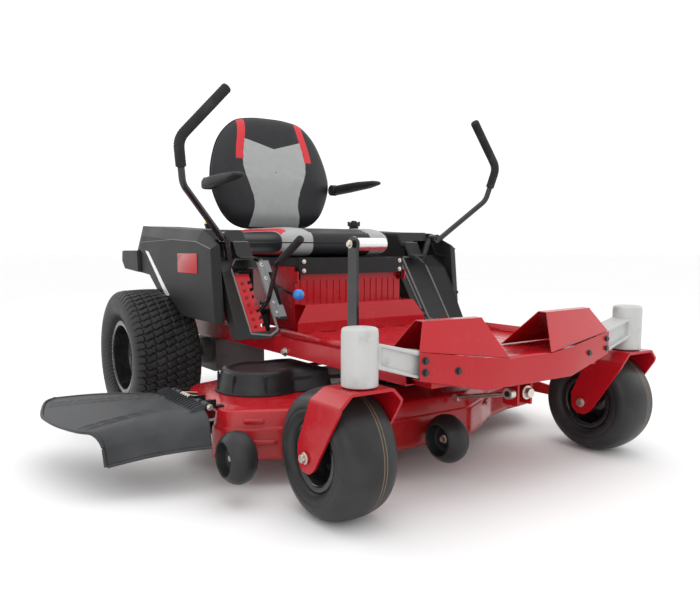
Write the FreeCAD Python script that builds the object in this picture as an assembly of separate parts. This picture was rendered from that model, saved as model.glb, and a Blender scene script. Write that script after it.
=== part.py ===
"""Zero turn mower, in millimetres.

The design frame has the mower's nose towards -Y, the operator's left at +X, the ground at Z = 0
and the rear axle over Y = 0. The finished shapes are moved so that the origin is the middle of the
whole footprint, on the ground.
"""
import FreeCAD
import Part
import math
import os

V = FreeCAD.Vector
X = V(1, 0, 0)
SIGNS = (-1, 1)            # the operator's right, then left

# Driving dimensions
FIT = 0.05                 # radial clearance of a running fit
SHEET = 3.0                # folded sheet steel
REAR_R = 254.0             # 20 inch drive tyre
REAR_X = 587.0             # half the drive track
CAST_R = 165.0             # 13 inch caster tyre
CAST_X = 529.0
CAST_Y = -1293.0           # swivel axis
TRAIL = 92.0
POST_R = 44.0
POST_Z = (353.0, 484.0)
STEM_R = 12.5
BOLT_R = 9.5               # caster axle bolt
RAIL_X = (310.0, 360.0)
RAIL_Z = (320.0, 376.0)
RAIL_Y = (-1258.0, 430.0)
FLOOR_Z = 376.0
NOSE_Y = -1355.0
HITCH_Y = 505.0
HITCH_Z = 262.0
HITCH_R = 9.5
HOLE_X = 220.0             # rear accessory holes: half spacings and radius
HOLE_Z = 14.0
HOLE_R = 5.25
POD_X = (352.0, 513.0, 545.0)   # seat side, start of the outer slab, outer face
WALL = 4.0                 # moulded covers
DECK_TOP = 218.0
DECK_BOTTOM = 80.0
BLADE_R = 228.0
SPINDLES = (("right", -451.0, -640.0), ("centre", 0.0, -812.0), ("left", 451.0, -640.0))
ROLLERS = (("right", -697.0, -985.0), ("centre", -120.0, -1162.0), ("left", 697.0, -985.0))
ROLLER_R = 70.0
ROLLER_Z = 124.0
LEVER_PIVOT = (430.0, -405.0, 572.0)
LEVER_SWING = (472.0, -449.0, 703.0)
HEIGHT_PIVOT = (-352.0, -444.0, 440.0)
PEDAL_PIVOT = (-344.0, -1010.0, 420.0)
ROLL_Z = 677.0
SPEED_PIVOT = (-297.0, -448.0, 540.0)
LINK_PIVOT = (-4.0, -1285.0, 262.0)
LINK_END = (-1079.0, 213.0)
SEAT_HINGE = (0.0, -522.0, 566.0)
SEAT_X = 262.0
ARM_PIVOT = (304.0, 52.0, 925.0)
CHUTE_HINGE = (-712.0, 232.0)
CAP_AXIS = (430.0, 60.0)
CAP_Z = 772.0


def box(x0, y0, z0, x1, y1, z1):
    """A box between two corners."""
    return Part.makeBox(x1 - x0, y1 - y0, z1 - z0, V(x0, y0, z0))


def rod(radius, start, end):
    """A round bar between two points."""
    run = V(*end) - V(*start)
    return Part.makeCylinder(radius, run.Length, V(*start), run)


def ring(outer, inner, start, end):
    """A round tube between two points."""
    return rod(outer, start, end).cut(rod(inner, start, end))


def loop(points):
    """A closed outline through points."""
    corners = [V(*p) for p in points]
    return Part.Wire(Part.makePolygon(corners + corners[:1]))


def panel(points, push):
    """A flat panel: its outline and the vector through its thickness."""
    return Part.Face(loop(points)).extrude(V(*push))


def side_prism(profile, x0, x1):
    """A side view outline of (y, z) points, carried from x0 to x1."""
    return panel([(x0, y, z) for y, z in profile], (x1 - x0, 0, 0))


def front_prism(profile, y0, y1):
    """A front view outline of (x, z) points, carried from y0 to y1."""
    return panel([(x, y0, z) for x, z in profile], (0, y1 - y0, 0))


def turned(profile, centre):
    """A closed outline of (x, r) points, turned about the X axis through centre."""
    face = Part.Face(loop([(x, 0, r) for x, r in profile]))
    shape = face.revolve(V(0, 0, 0), X, 360)
    shape.translate(V(*centre))
    return shape


def join(shapes):
    """One solid from shapes that share faces or overlap."""
    return shapes[0].multiFuse(shapes[1:]).removeSplitter()


def mirrored(shape):
    """The other side's copy of a shape."""
    return shape.mirror(V(0, 0, 0), X)


def bent_tube(radius, points, bend):
    """A round tube along straight runs joined by tangent arcs."""
    corners = [V(*p) for p in points]
    edges = []
    start = corners[0]
    for before, corner, after in zip(corners, corners[1:], corners[2:]):
        way_in = (corner - before).normalize()
        way_out = (after - corner).normalize()
        turn = way_in.getAngle(way_out)
        reach = bend * math.tan(turn / 2)
        first = corner - way_in * reach
        last = corner + way_out * reach
        inward = (way_out - way_in).normalize()
        middle = corner + inward * (bend / math.cos(turn / 2) - bend)
        edges.append(Part.LineSegment(start, first).toShape())
        edges.append(Part.Arc(first, middle, last).toShape())
        start = last
    edges.append(Part.LineSegment(start, corners[-1]).toShape())
    path = Part.Wire(edges)
    way = (corners[1] - corners[0]).normalize()
    section = Part.Wire(Part.makeCircle(radius, corners[0], way))
    return path.makePipeShell([section], True, True)


def both(shape):
    """The right hand shape and its mirror image, as loose solids of one node."""
    return Part.makeCompound([shape, mirrored(shape)])


# Frame

def main_frame():
    """Box rails, cross members, engine plate and hitch tongue, as loose welded members."""
    x0, x1 = RAIL_X
    z0, z1 = RAIL_Z
    y0, y1 = RAIL_Y
    rail = box(x0, y0, z0, x1, y1, z1).cut(box(x0 + SHEET, y0, z0 + SHEET, x1 - SHEET, y1, z1 - SHEET))
    nose = box(-330, -1322, z0, 330, y0, z1)
    middle = box(-x0, -420, z0, x0, -370, z1)
    tail = box(-x0, 380, z0, x0, y1, z1)
    for bx in (-HOLE_X, HOLE_X):
        for bz in (-HOLE_Z, HOLE_Z):
            z = (z0 + z1) / 2 + bz
            tail = tail.cut(rod(HOLE_R, (bx, y1 - 20, z), (bx, y1 + 1, z)))
    plate = box(-x1, 150, z1, x1, y1, z1 + 6)
    plate = plate.cut(Part.makeCylinder(60, 10, V(0, 290, z1 - 2)))
    tongue = join([
        box(-50, y1, HITCH_Z - 3, 50, HITCH_Y + 25, HITCH_Z + 3),
        box(-50, y1, HITCH_Z + 3, 50, y1 + 6, z1),
    ]).cut(rod(HITCH_R, (0, HITCH_Y, HITCH_Z - 9), (0, HITCH_Y, HITCH_Z + 9)))
    bracket = box(12, -1300, 226, 74, -1246, z0).cut(box(20, -1301, 226, 66, -1254, z0 - 8))
    carrier = box(300, -95, 309, 345, 95, z0)
    return Part.makeCompound([rail, mirrored(rail), nose, middle, tail, plate, tongue, bracket,
                              carrier, mirrored(carrier)])


def nose_y(x):
    """How far forward the front sheet stands at x: straight in the middle, swept back outside."""
    return NOSE_Y + max(0.0, abs(x) - 172) * 25 / 205


def front_bumper():
    """Front sheet in three facets with a folded lower lip."""
    def facet(outline):
        return panel([(x, nose_y(x), z) for x, z in outline], (0, SHEET, 0))
    middle = facet([(-172, 305), (172, 305), (172, 389), (84, 378), (-84, 378), (-172, 389)])
    wing = facet([(172, 305), (377, 348), (377, 416), (172, 389)])
    lip = box(-172, NOSE_Y, 302, 172, NOSE_Y + 30, 305)
    return join([middle, wing, mirrored(wing), lip])


def footrests():
    """Two wedges of sheet, open at both ends, with a sloping face for the feet."""
    low_in = V(84, -1354, 379)
    top_in = V(129, -1296, 484)
    top_out = V(336, -1292, 486)
    normal = (top_in - low_in).cross(top_out - low_in)
    out_x, out_z = 376, 417
    out_y = low_in.y - (normal.x * (out_x - low_in.x) + normal.z * (out_z - low_in.z)) / normal.y
    low_out = V(out_x, out_y, out_z)
    front = Part.Face(loop([low_in, top_in, top_out, low_out])).extrude(V(0, 3.2, 0))
    back_in = V(129, -1268, 485)
    back_out = V(336, -1264, 487)
    top = Part.Face(loop([top_in, top_out, back_out])).extrude(V(0, 0, -SHEET))
    top = top.fuse(Part.Face(loop([top_in, back_out, back_in])).extrude(V(0, 0, -SHEET)))
    foot_in = V(96, -1160, 380.5)
    foot_out = V(350, -1160, 380.5)
    slope = Part.Face(loop([back_in, back_out, foot_out])).extrude(V(0, -SHEET, 0))
    slope = slope.fuse(Part.Face(loop([back_in, foot_out, foot_in])).extrude(V(0, -SHEET, 0)))
    return both(join([front, top, slope]))


def floor_pan():
    """Footwell floor with raised side lips and four drain slots."""
    z0 = FLOOR_Z
    floor = box(-357, -1257, z0, 357, -480, z0 + SHEET)
    edge = [(x, nose_y(x) + SHEET + 1, z0) for x in (-309, -172, 172, 309)]
    nose = panel(edge + [(309, -1257, z0), (-309, -1257, z0)], (0, 0, SHEET))
    lip = box(354, -1257, z0, 357, -620, z0 + 22)
    for y in (-1120, -1010, -900, -790):
        floor = floor.cut(box(-120, y, z0 - 1, 120, y + 14, z0 + SHEET + 1))
    return join([floor, nose, lip, mirrored(lip)])


def seat_box():
    """Front wall, ribs, step, sides and hinge ears under the seat."""
    z0 = FLOOR_Z + SHEET
    wall = box(-222, -512, z0, 222, -509, 612).fuse(box(-236, -512, z0, 236, -509, 545))
    side = box(233, -509, z0, 236, -160, 600)
    rear = box(-236, -163, z0, 236, -160, 600)
    step = box(-238, -592, 469, 238, -512, 472)
    face = panel([(-238, -592, 472), (238, -592, 472), (281, -606, 413), (-281, -606, 413)], (0, 3, 0))
    skirt = box(-281, -606, z0, 281, -603, 413)
    ribs = [box(x - 4, -515, 472, x + 4, -512, 552) for x in range(-210, 211, 28)]
    ear = box(237, -540, 548, 241, -500, 584)
    tab = box(233, -512, 548, 237, -500, 584)
    pin = rod(5, (223, SEAT_HINGE[1], SEAT_HINGE[2]), (241, SEAT_HINGE[1], SEAT_HINGE[2]))
    hinge = join([ear, tab, pin])
    return join([wall, side, mirrored(side), rear, step, face, skirt, hinge, mirrored(hinge)] + ribs)


def caster_arm():
    """Right cast arm: a bored post and a tapering arm with a pocket in its front face."""
    post = rod(POST_R, (-CAST_X, CAST_Y, POST_Z[0]), (-CAST_X, CAST_Y, POST_Z[1]))
    outline = [(-CAST_X, 380), (-CAST_X, 452), (-372, 418), (-330, 412), (-330, 345), (-372, 348)]
    arm = front_prism(outline, -1325, -1262)
    pocket = front_prism([(-484, 392), (-484, 432), (-384, 408), (-384, 362)], -1325, -1315)
    bore = rod(STEM_R + FIT, (-CAST_X, CAST_Y, 340), (-CAST_X, CAST_Y, 500))
    return join([post, arm]).cut(pocket).cut(bore)


def bolt(x, y, z, push):
    """A hexagon head on its washer, facing -Y."""
    washer = rod(11, (x, y, z), (x, y - 2, z))
    turns = [k * math.pi / 3 for k in range(6)]
    corners = [(x + 8 * math.cos(turn), y - 2, z + 8 * math.sin(turn)) for turn in turns]
    return join([washer, panel(corners, (0, -push, 0))])


def frame_bolts():
    """Bolt heads of the caster arms and of the front sheet, and the big zinc nut of the link bracket."""
    heads = []
    for side in SIGNS:
        for x, z in ((360, 394), (360, 364), (255, 350)):
            heads.append(bolt(side * x, nose_y(x) - 1.5, z, 7))
    heads.append(bolt(52, -1300, 262, 12))
    return Part.makeCompound(heads)


def rear_guard():
    """Bent round bar that stands behind the engine, on two feet."""
    points = [(-335, 400, 400), (-335, 520, 430), (-300, 560, 640), (-150, 575, 690)]
    bar = bent_tube(14, points + [(-x, y, z) for x, y, z in reversed(points)], 45)
    foot = box(-359, 388, 382, -311, 428, 392)
    return Part.makeCompound([bar, foot, mirrored(foot)])


# Covers

POD_SIDE = [(-534, 417), (-500, 676), (-380, 725), (-165, 735), (220, 755), (300, 655),
            (425, 654), (395, 575), (117, 557), (-120, 498), (-240, 417)]
HOOD = [(-470, 636), (-428, 643), (-400, 686), (-378, 688), (-350, 727), (-165, 735), (220, 752)]


def fender():
    """Right side pod: a moulded shell over the tyre with a stepped hood towards the seat."""
    x0, x1, x2 = POD_X
    outer = side_prism(POD_SIDE, -x2, -x1)
    core = Part.Face(loop([(0, y, z) for y, z in POD_SIDE])).makeOffset2D(-WALL)
    inner = core.extrude(V(x2 - x1 + 20, 0, 0))
    inner.translate(V(WALL - x2, 0, 0))
    shell = outer.cut(inner)
    under = [(y, z - WALL) for y, z in reversed(HOOD)]
    slot = box(-496, -484, 600, -420, -376, 740)
    hood = side_prism(HOOD + under, -x1, -x0).cut(slot)
    rear = box(-x1, 216, 600, -x0, 220, 748)
    cheek = side_prism([(-400, 682), (-378, 684), (-350, 723), (-165, 731), (216, 748), (216, 600),
                        (-400, 600)], -x0 - WALL, -x0)
    return join([shell, hood, rear, cheek])


def face_y(z):
    """The slanted console face: further forward lower down."""
    return -450 - (568 - z) * 0.68


def console_shell():
    """Slanted console face with its two side flanges."""
    z0, z1 = 365, 626
    slant = [(face_y(z0), z0), (face_y(z1), z1), (face_y(z1) + 6, z1), (face_y(z0) + 6, z0)]
    flange = [(face_y(z0) + 5, z0), (face_y(z1) + 5, z1), (face_y(z1) + 34, z1), (face_y(z0) + 34, z0)]
    notch = box(-468, -480, 592, -418, -350, 700)
    face = side_prism(slant, -500, -286).cut(notch)
    parts = [face, side_prism(flange, -500, -496), side_prism(flange, -290, -286)]
    over_rail = box(-362, -700, z0 - 1, -280, -400, FLOOR_Z + SHEET + 1)
    return join(parts).cut(over_rail)


def console_right():
    """Right console: windows for the height lever's gate and for the blade speed lever."""
    window = [(face_y(z) + dy, z) for z, dy in ((384, -30), (596, -30), (596, 60), (384, 60))]
    slot = [(face_y(z) + dy, z) for z, dy in ((470, -30), (578, -30), (578, 60), (470, 60))]
    shell = console_shell().cut(side_prism(window, -440, -338)).cut(side_prism(slot, -303, -291))
    return shell


def console_left():
    """Left console: the same face, closed."""
    return mirrored(console_shell())


def height_gate():
    """Toothed plate in the right console that holds the height lever at its settings."""
    z0, z1 = 390, 575
    strip = side_prism([(face_y(z0) + 9, z0), (face_y(z1) + 9, z1), (face_y(z1) + 13, z1),
                        (face_y(z0) + 13, z0)], -438, -378)
    for k in range(7):
        z = z0 + 12 + k * 23
        tooth = [(-392, z), (-378, z + 4), (-378, z + 14), (-392, z + 10)]
        strip = strip.cut(front_prism(tooth, -620, -400))
    z2 = 530
    post = side_prism([(face_y(z0) + 13, z0), (face_y(z2) + 13, z2), (face_y(z2) + 40, z2),
                       (face_y(z0) + 40, z0)], -438, -434)
    return join([strip, post])


# Engine and drive

def engine_block():
    """Crankcase with two finned cylinders in a V."""
    case = rod(118, (0, 290, 383), (0, 290, 560))
    parts = [case]
    for side in SIGNS:
        way = V(side * math.sin(math.radians(48)), 0.67, 0).normalize()
        start = V(0, 290, 480) + way * 70
        barrel = Part.makeCylinder(50, 95, start, way)
        parts.append(barrel)
        for k in range(5):
            parts.append(Part.makeCylinder(66, 4, start + way * (36 + k * 11), way))
    return join(parts)


def engine_shroud():
    """Blower housing and air filter cover on top of the engine, with an oil filler."""
    housing = Part.makeCylinder(165, 60, V(0, 300, 562))
    screen = Part.makeCylinder(120, 26, V(0, 300, 622))
    cover = box(-115, 245, 648, 115, 430, 720)
    cover = cover.makeFillet(18, [e for e in cover.Edges if abs(e.tangentAt(0).z) > 0.9])
    filler = rod(13, (-150, 262, 600), (-205, 262, 745))
    cap = rod(19, (-205, 262, 745), (-216, 262, 775))
    return join([housing, screen, cover, filler, cap])


def muffler():
    """Transverse silencer behind the engine with its outlet."""
    drum = rod(48, (-150, 505, 440), (150, 505, 440))
    outlet = rod(14, (110, 505, 395), (110, 540, 350))
    return join([drum, outlet])


def fuel_tank():
    """Moulded tank inside the left pod, with its filler neck through the hood."""
    tank = box(366, -100, 592, 505, 200, 722)
    tank = tank.makeFillet(14, tank.Edges)
    neck = rod(22, (CAP_AXIS[0], CAP_AXIS[1], 715), (CAP_AXIS[0], CAP_AXIS[1], 764))
    thread = rod(16, (CAP_AXIS[0], CAP_AXIS[1], 764), (CAP_AXIS[0], CAP_AXIS[1], 778))
    return join([tank, neck, thread])


def fuel_cap():
    """Ribbed screw cap on the filler neck."""
    x, y = CAP_AXIS
    top = Part.makeCylinder(29, 16, V(x, y, CAP_Z - 7))
    ribs = [box(x - 12, y - 3, CAP_Z + 9, x + 12, y + 3, CAP_Z + 19)]
    bore = Part.makeCylinder(16 + FIT, 14.5, V(x, y, CAP_Z - 8))
    return join([top] + ribs).cut(bore)


def hydro_drives():
    """Two transaxle housings under the rails with axle stubs and fan-side covers."""
    housing = box(-345, -85, 176, -130, 85, 309)
    housing = housing.makeFillet(16, [e for e in housing.Edges if abs(e.tangentAt(0).x) > 0.9])
    axle = rod(22, (-345, 0, REAR_R), (-600, 0, REAR_R))
    flare = rod(52, (-345, 0, REAR_R), (-385, 0, REAR_R))
    shaft = rod(9, (-235, 0, 309), (-235, 0, 345))
    sheave = rod(60, (-235, 0, 345), (-235, 0, 360))
    return both(join([housing, axle, flare, shaft, sheave]))


def rear_tyre():
    """Right drive tyre: a hollow carcass."""
    outside = [(-96, 128), (-96, 141), (-118, 156), (-125, 190), (-116, 236), (-92, 250), (0, REAR_R),
               (92, 250), (116, 236), (125, 190), (118, 156), (96, 141), (96, 128)]
    inside = [(84, 128), (84, 148), (106, 166), (111, 190), (103, 226), (84, 236), (0, 240),
              (-84, 236), (-103, 226), (-111, 190), (-106, 166), (-84, 148), (-84, 128)]
    return turned(outside + inside, (-REAR_X, 0, REAR_R))


def rear_rim():
    """Right drive rim: rolled lips, barrel, dished disc with slots and a bored hub."""
    half = [(97, 139), (103, 139), (103, 122), (97, 118), (60, 114), (30, 112)]
    outer = [(30, 118), (60, 120), (84, 127.8), (97, 127.8)]
    barrel = turned(half + [(-x, r) for x, r in reversed(half)]
                    + [(-x, r) for x, r in reversed(outer)] + outer, (-REAR_X, 0, REAR_R))
    disc = turned([(-20, 30), (-20, 70), (-4, 112), (2, 112), (-14, 70), (-14, 30)], (-REAR_X, 0, REAR_R))
    for k in range(10):
        a = math.radians(36 * k)
        y, z = 90 * math.cos(a), REAR_R + 90 * math.sin(a)
        disc = disc.cut(rod(8, (-REAR_X - 60, y, z), (-REAR_X + 60, y, z)))
    hub = ring(44, 22 + FIT, (-REAR_X - 26, 0, REAR_R), (-REAR_X + 22, 0, REAR_R))
    nuts = []
    for k in range(5):
        a = math.radians(72 * k + 18)
        y, z = 57 * math.cos(a), REAR_R + 57 * math.sin(a)
        nuts.append(rod(9, (-REAR_X - 32, y, z), (-REAR_X - 19, y, z)))
    return join([barrel, disc, hub] + nuts)


# Casters

def caster_fork():
    """Right fork: bent crown and legs with the swivel stem and the axle bolt."""
    x, y = -CAST_X, CAST_Y + TRAIL
    out = [(-95, 100), (-95, 314), (-62, 347), (62, 347), (95, 314), (95, 100)]
    inn = [(87, 100), (87, 311), (59, 339), (-59, 339), (-87, 311), (-87, 100)]
    bend = front_prism([(x + a, z) for a, z in out + inn], -1420, -1100)
    leg = [(-1346, 360), (-1240, 360), (-1160, 190), (-1162, 146), (-1180, 128), (-1214, 126),
           (-1238, 146), (-1346, 300)]
    fork = bend.common(side_prism(leg, x - 100, x + 100))
    fork = fork.cut(rod(BOLT_R, (x - 120, y, CAST_R), (x + 120, y, CAST_R)))
    stem = rod(STEM_R, (x, CAST_Y, 347), (x, CAST_Y, 480))
    washer = rod(28, (x, CAST_Y, 347), (x, CAST_Y, 351.5))
    axle = rod(BOLT_R, (x - 100, y, CAST_R), (x + 100, y, CAST_R))
    head = rod(15, (x - 108, y, CAST_R), (x - 95, y, CAST_R))
    nut = rod(15, (x + 95, y, CAST_R), (x + 108, y, CAST_R))
    return Part.makeCompound([join([fork, stem, washer]), join([axle, head, nut])])


def caster_tyre():
    """Right caster tyre: smooth, with a rounded crown."""
    outside = [(-64, 77), (-64, 89), (-78, 97), (-82.5, 118), (-76, 142), (-56, 158), (-28, 164),
               (0, CAST_R), (28, 164), (56, 158), (76, 142), (82.5, 118), (78, 97), (64, 89), (64, 77)]
    inside = [(54, 77), (54, 94), (70, 102), (72, 118), (64, 138), (0, 154), (-64, 138), (-72, 118),
              (-70, 102), (-54, 94), (-54, 77)]
    return turned(outside + inside, (-CAST_X, CAST_Y + TRAIL, CAST_R))


def caster_rim():
    """Right caster rim: lips, barrel, web and a bored hub."""
    half = [(65, 88), (69, 88), (69, 74), (60, 70), (20, 66)]
    outer = [(20, 72), (56, 76.8), (65, 76.8)]
    centre = (-CAST_X, CAST_Y + TRAIL, CAST_R)
    barrel = turned(half + [(-x, r) for x, r in reversed(half)]
                    + [(-x, r) for x, r in reversed(outer)] + outer, centre)
    web = turned([(-4, 20), (-4, 68), (4, 68), (4, 20)], centre)
    hub = turned([(-78, BOLT_R + FIT), (-78, 20), (78, 20), (78, BOLT_R + FIT)], centre)
    return join([barrel, web, hub])


# Controls

def lever_bracket():
    """Left drive lever post: pivot barrel, slanting post and the swing joint's cheek and stud."""
    px, py, pz = LEVER_PIVOT
    sx, sy, sz = LEVER_SWING
    barrel = rod(20, (px - 22, py, pz), (px + 22, py, pz))
    post = rod(13, (px, py, pz + 12), (sx - 12, sy + 17, sz))
    cheek = rod(17, (sx, sy + 3, sz), (sx, sy + 20, sz))
    stud = rod(7, (sx, sy + 3, sz), (sx, sy - 22, sz))
    return join([barrel, post, cheek, stud]).cut(rod(10 + FIT, (px - 40, py, pz), (px + 40, py, pz)))


def lever_tube():
    """Left lever: bent steel tube from the swing joint up to the top of the grip."""
    sx, sy, sz = LEVER_SWING
    boss = ring(17, 7 + FIT, (sx, sy + 1, sz), (sx, sy - 18, sz))
    path = [(sx + 10, sy - 8, sz - 8), (657, -553, 860), (681, -585, 990), (536, -606, 1140)]
    tube = bent_tube(11, path, 60)
    return join([boss, tube]).cut(rod(7 + FIT, (sx, sy + 30, sz), (sx, sy - 40, sz)))


def lever_grip():
    """Left foam grip over the upper part of the lever."""
    path = [(657, -553, 860), (681, -585, 990), (527, -607, 1157)]
    start = V(*path[0]) + (V(*path[1]) - V(*path[0])).normalize() * 50
    outer = bent_tube(17, [tuple(start)] + path[1:], 60)
    hole = bent_tube(11, [(472 + 10, -457, 695), path[0], path[1], (536, -606, 1140)], 60)
    return outer.cut(hole)


def control_mounts():
    """Fixed plates and pins that the levers, the pedal and the link turn on."""
    px, py, pz = LEVER_PIVOT
    drive = join([rod(10, (358, py, pz), (px + 26, py, pz)), box(352, -424, RAIL_Z[1], 358, -382, 594)])
    hx, hy, hz = HEIGHT_PIVOT
    height_plate = box(-318, hy - 24, RAIL_Z[1], -312, hy + 24, hz + 14)
    height = join([rod(8, (hx - 16, hy, hz), (-312, hy, hz)), height_plate])
    ex, ey, ez = PEDAL_PIVOT
    pedal = join([rod(8, (ex - 6, ey, ez), (ex + 12, ey, ez)),
                  box(ex + 6, ey - 20, FLOOR_Z + SHEET, ex + 12, ey + 20, ez + 14)])
    vx, vy, vz = SPEED_PIVOT
    speed = rod(5, (-290, vy, vz), (vx - 8, vy, vz))
    lx, ly, lz = LINK_PIVOT
    link = rod(8, (lx - 12, ly, lz), (12, ly, lz))
    return Part.makeCompound([drive, mirrored(drive), height, pedal, speed, link])


def height_lever():
    """Cutting height lever: flat bar with an offset round handle."""
    x, y, z = HEIGHT_PIVOT
    boss = ring(16, 8 + FIT, (x - 12, y, z), (x + 12, y, z))
    bar = bent_tube(8, [(x, y - 14, z + 4), (x, -531, 490), (x, -588, 610), (x, -735, 690)], 30)
    finger = rod(6, (x, -512, 480), (x - 20, -512, 480))
    return join([boss, bar, finger]).cut(rod(8 + FIT, (x - 30, y, z), (x + 30, y, z)))


def height_grip():
    """Grip over the end of the height lever."""
    x = HEIGHT_PIVOT[0]
    way = (V(0, -735, 690) - V(0, -588, 610)).normalize()
    start = V(x, -588, 610) + way * 34
    end = V(x, -735, 690)
    sleeve = Part.makeCylinder(13, (end - start).Length + 12, start, way)
    return sleeve.cut(Part.makeCylinder(8, (end - start).Length, start, way))


def pedal_arm():
    """Foot lift arm: flat bar from its pivot on the floor up to the roller's pin."""
    x, y, z = PEDAL_PIVOT
    boss = rod(15, (x - 4, y, z), (x + 5, y, z))
    bar = panel([(x - 4, y - 22, z), (x - 4, y + 22, z), (x - 4, y + 20, ROLL_Z), (x - 4, y - 20, ROLL_Z)],
                (8, 0, 0))
    top = rod(22, (x - 4, y, ROLL_Z), (x + 4, y, ROLL_Z))
    pin = rod(6, (x - 12, y, ROLL_Z), (x + 112, y, ROLL_Z))
    return join([boss, bar, top, pin]).cut(rod(8 + FIT, (x - 30, y, z), (x + 30, y, z)))


def pedal_roller():
    """Roller that the foot pushes."""
    x, y, z = PEDAL_PIVOT
    return ring(18, 6 + FIT, (x + 7, y, ROLL_Z), (x + 109, y, ROLL_Z))


def speed_lever():
    """Blade speed lever: flat bar through the console's slot."""
    x, y, z = SPEED_PIVOT
    boss = rod(10, (x - 4, y, z), (x + 4, y, z))
    bar = side_prism([(y, z - 6), (y - 156, z - 34), (y - 156, z - 24), (y, z + 6)], x - 3, x + 3)
    stem = rod(4, (x, y - 150, z - 28), (x, y - 174, z - 28))
    return join([boss, bar, stem]).cut(rod(5 + FIT, (x - 20, y, z), (x + 20, y, z)))


def speed_knob():
    """Ball knob of the speed lever."""
    x, y, z = SPEED_PIVOT
    return Part.makeSphere(19, V(x, y - 190, z - 28)).cut(rod(4, (x, y - 150, z - 28), (x, y - 174, z - 28)))


# Seat

def seat_pan():
    """Seat pan with its front apron, side flanges and hinge lugs."""
    hy, hz = SEAT_HINGE[1], SEAT_HINGE[2]
    apron = box(-230, -536, 574, 230, -533, 631)
    tray = box(-230, -536, 628, 230, -62, 631)
    flange = side_prism([(-536, 574), (-536, 556), (-512, 554), (-500, 586), (-62, 612), (-62, 631),
                         (-536, 631)], 226, 229.5)
    flange = flange.cut(rod(5 + FIT, (200, hy, hz), (260, hy, hz)))
    return join([apron, tray, flange, mirrored(flange)])


def rounded(shape, radius):
    """A shape with all its edges rounded."""
    return shape.makeFillet(radius, shape.Edges)


def seat_cushion():
    """Seat cushion, a plain closed solid on its slide rails."""
    pad = [(-470, 668), (-462, 722), (-390, 742), (-60, 720), (20, 742), (28, 668)]
    return join([side_prism(pad, -SEAT_X, SEAT_X), box(-200, -430, 640, 200, 10, 668)])


def seat_back():
    """Seat back, a plain closed solid, leaning back a little."""
    outline = [(-150, 752), (-232, 800), (-285, 905), (-286, 990), (-240, 1120), (-170, 1196), (-90, 1216),
               (90, 1216), (170, 1196), (240, 1120), (286, 990), (285, 905), (232, 800), (150, 752)]
    slab = front_prism(outline, -30, 260)
    lean = [(30, 740), (14, 800), (20, 960), (62, 1217), (150, 1217), (150, 1100), (118, 900), (110, 740)]
    back = slab.common(side_prism(lean, -300, 300))
    x, y, z = ARM_PIVOT
    return back.fuse(rod(8, (-x - 14, y, z), (x + 14, y, z)))


def armrest():
    """Left armrest with its pivot boss."""
    x, y, z = ARM_PIVOT
    pad = box(x - 14, -272, z - 2, x + 44, y + 10, z + 26)
    pad = pad.makeFillet(10, [e for e in pad.Edges if abs(e.tangentAt(0).y) > 0.9])
    boss = rod(24, (x - 10, y, z), (x + 20, y, z))
    return join([pad, boss]).cut(rod(8 + FIT, (x - 20, y, z), (x + 30, y, z)))


# Cutting deck

DECK_PLAN = [(-690, -560), (-690, -868), (-537, -946), (-302, -1062), (70, -1062), (190, -1000),
             (300, -935), (430, -893), (580, -872), (680, -770), (704, -640), (680, -500),
             (590, -425), (451, -392), (-451, -392), (-600, -440)]


def deck_shell():
    """Stamped steel deck: top plate, skirt, discharge opening and roller arms."""
    outline = Part.Face(loop([(x, y, DECK_BOTTOM) for x, y in DECK_PLAN]))
    solid = outline.extrude(V(0, 0, DECK_TOP - DECK_BOTTOM))
    hollow = outline.makeOffset2D(-4).extrude(V(0, 0, DECK_TOP - DECK_BOTTOM - 4))
    shell = solid.cut(hollow)
    shell = shell.cut(box(-720, -820, DECK_BOTTOM - 1, -640, -600, DECK_TOP - 8))
    for name, x, y in SPINDLES:
        shell = shell.cut(Part.makeCylinder(34, 40, V(x, y, DECK_TOP - 20)))
        shell = shell.fuse(ring(58, 14 + FIT, (x, y, DECK_TOP - 30), (x, y, DECK_TOP + 22)))
    for name, x, y in ROLLERS:
        if name == "centre":
            arm = box(x + 42, y - 12, 110, x + 50, -1060, 150)
            pin = rod(6, (x - 34, y, ROLLER_Z), (x + 48, y, ROLLER_Z))
        else:
            arm = box(abs(x) - 50, y - 12, 110, abs(x) - 42, -785, 150)
            pin = rod(6, (abs(x) - 48, y, ROLLER_Z), (abs(x) + 34, y, ROLLER_Z))
            arm, pin = (arm, pin) if x > 0 else (mirrored(arm), mirrored(pin))
        shell = join([shell, arm, pin])
    lug = box(-24, -1100, 196, -16, -1058, 230)
    twin = box(8, -1100, 196, 16, -1058, 230)
    return join([shell, lug, twin])


def deck_link():
    """Front link rod between the nose bracket and the deck's lugs."""
    x, y, z = LINK_PIVOT
    end_y, end_z = LINK_END
    eye = rod(16, (x - 9, y, z), (x + 9, y, z))
    bar = rod(7, (x, y, z), (x, end_y, end_z))
    tip = rod(12, (x - 9, end_y, end_z), (x + 9, end_y, end_z))
    return join([eye, bar, tip]).cut(rod(8 + FIT, (x - 20, y, z), (x + 20, y, z)))


def belt_covers():
    """Two moulded covers over the outer spindles' pulleys."""
    x, y = SPINDLES[0][1], SPINDLES[0][2]
    cover = Part.makeCone(132, 116, 44, V(x, y, DECK_TOP + 28))
    inside = Part.makeCone(128, 112, 40, V(x, y, DECK_TOP + 28))
    foot = Part.makeCylinder(132, 28, V(x, y, DECK_TOP)).cut(Part.makeCylinder(128, 28, V(x, y, DECK_TOP)))
    mouth = box(x + 48, y - 122, DECK_TOP - 1, x + 140, y + 122, DECK_TOP + 62)
    return both(join([cover.cut(inside), foot]).cut(mouth))


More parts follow.
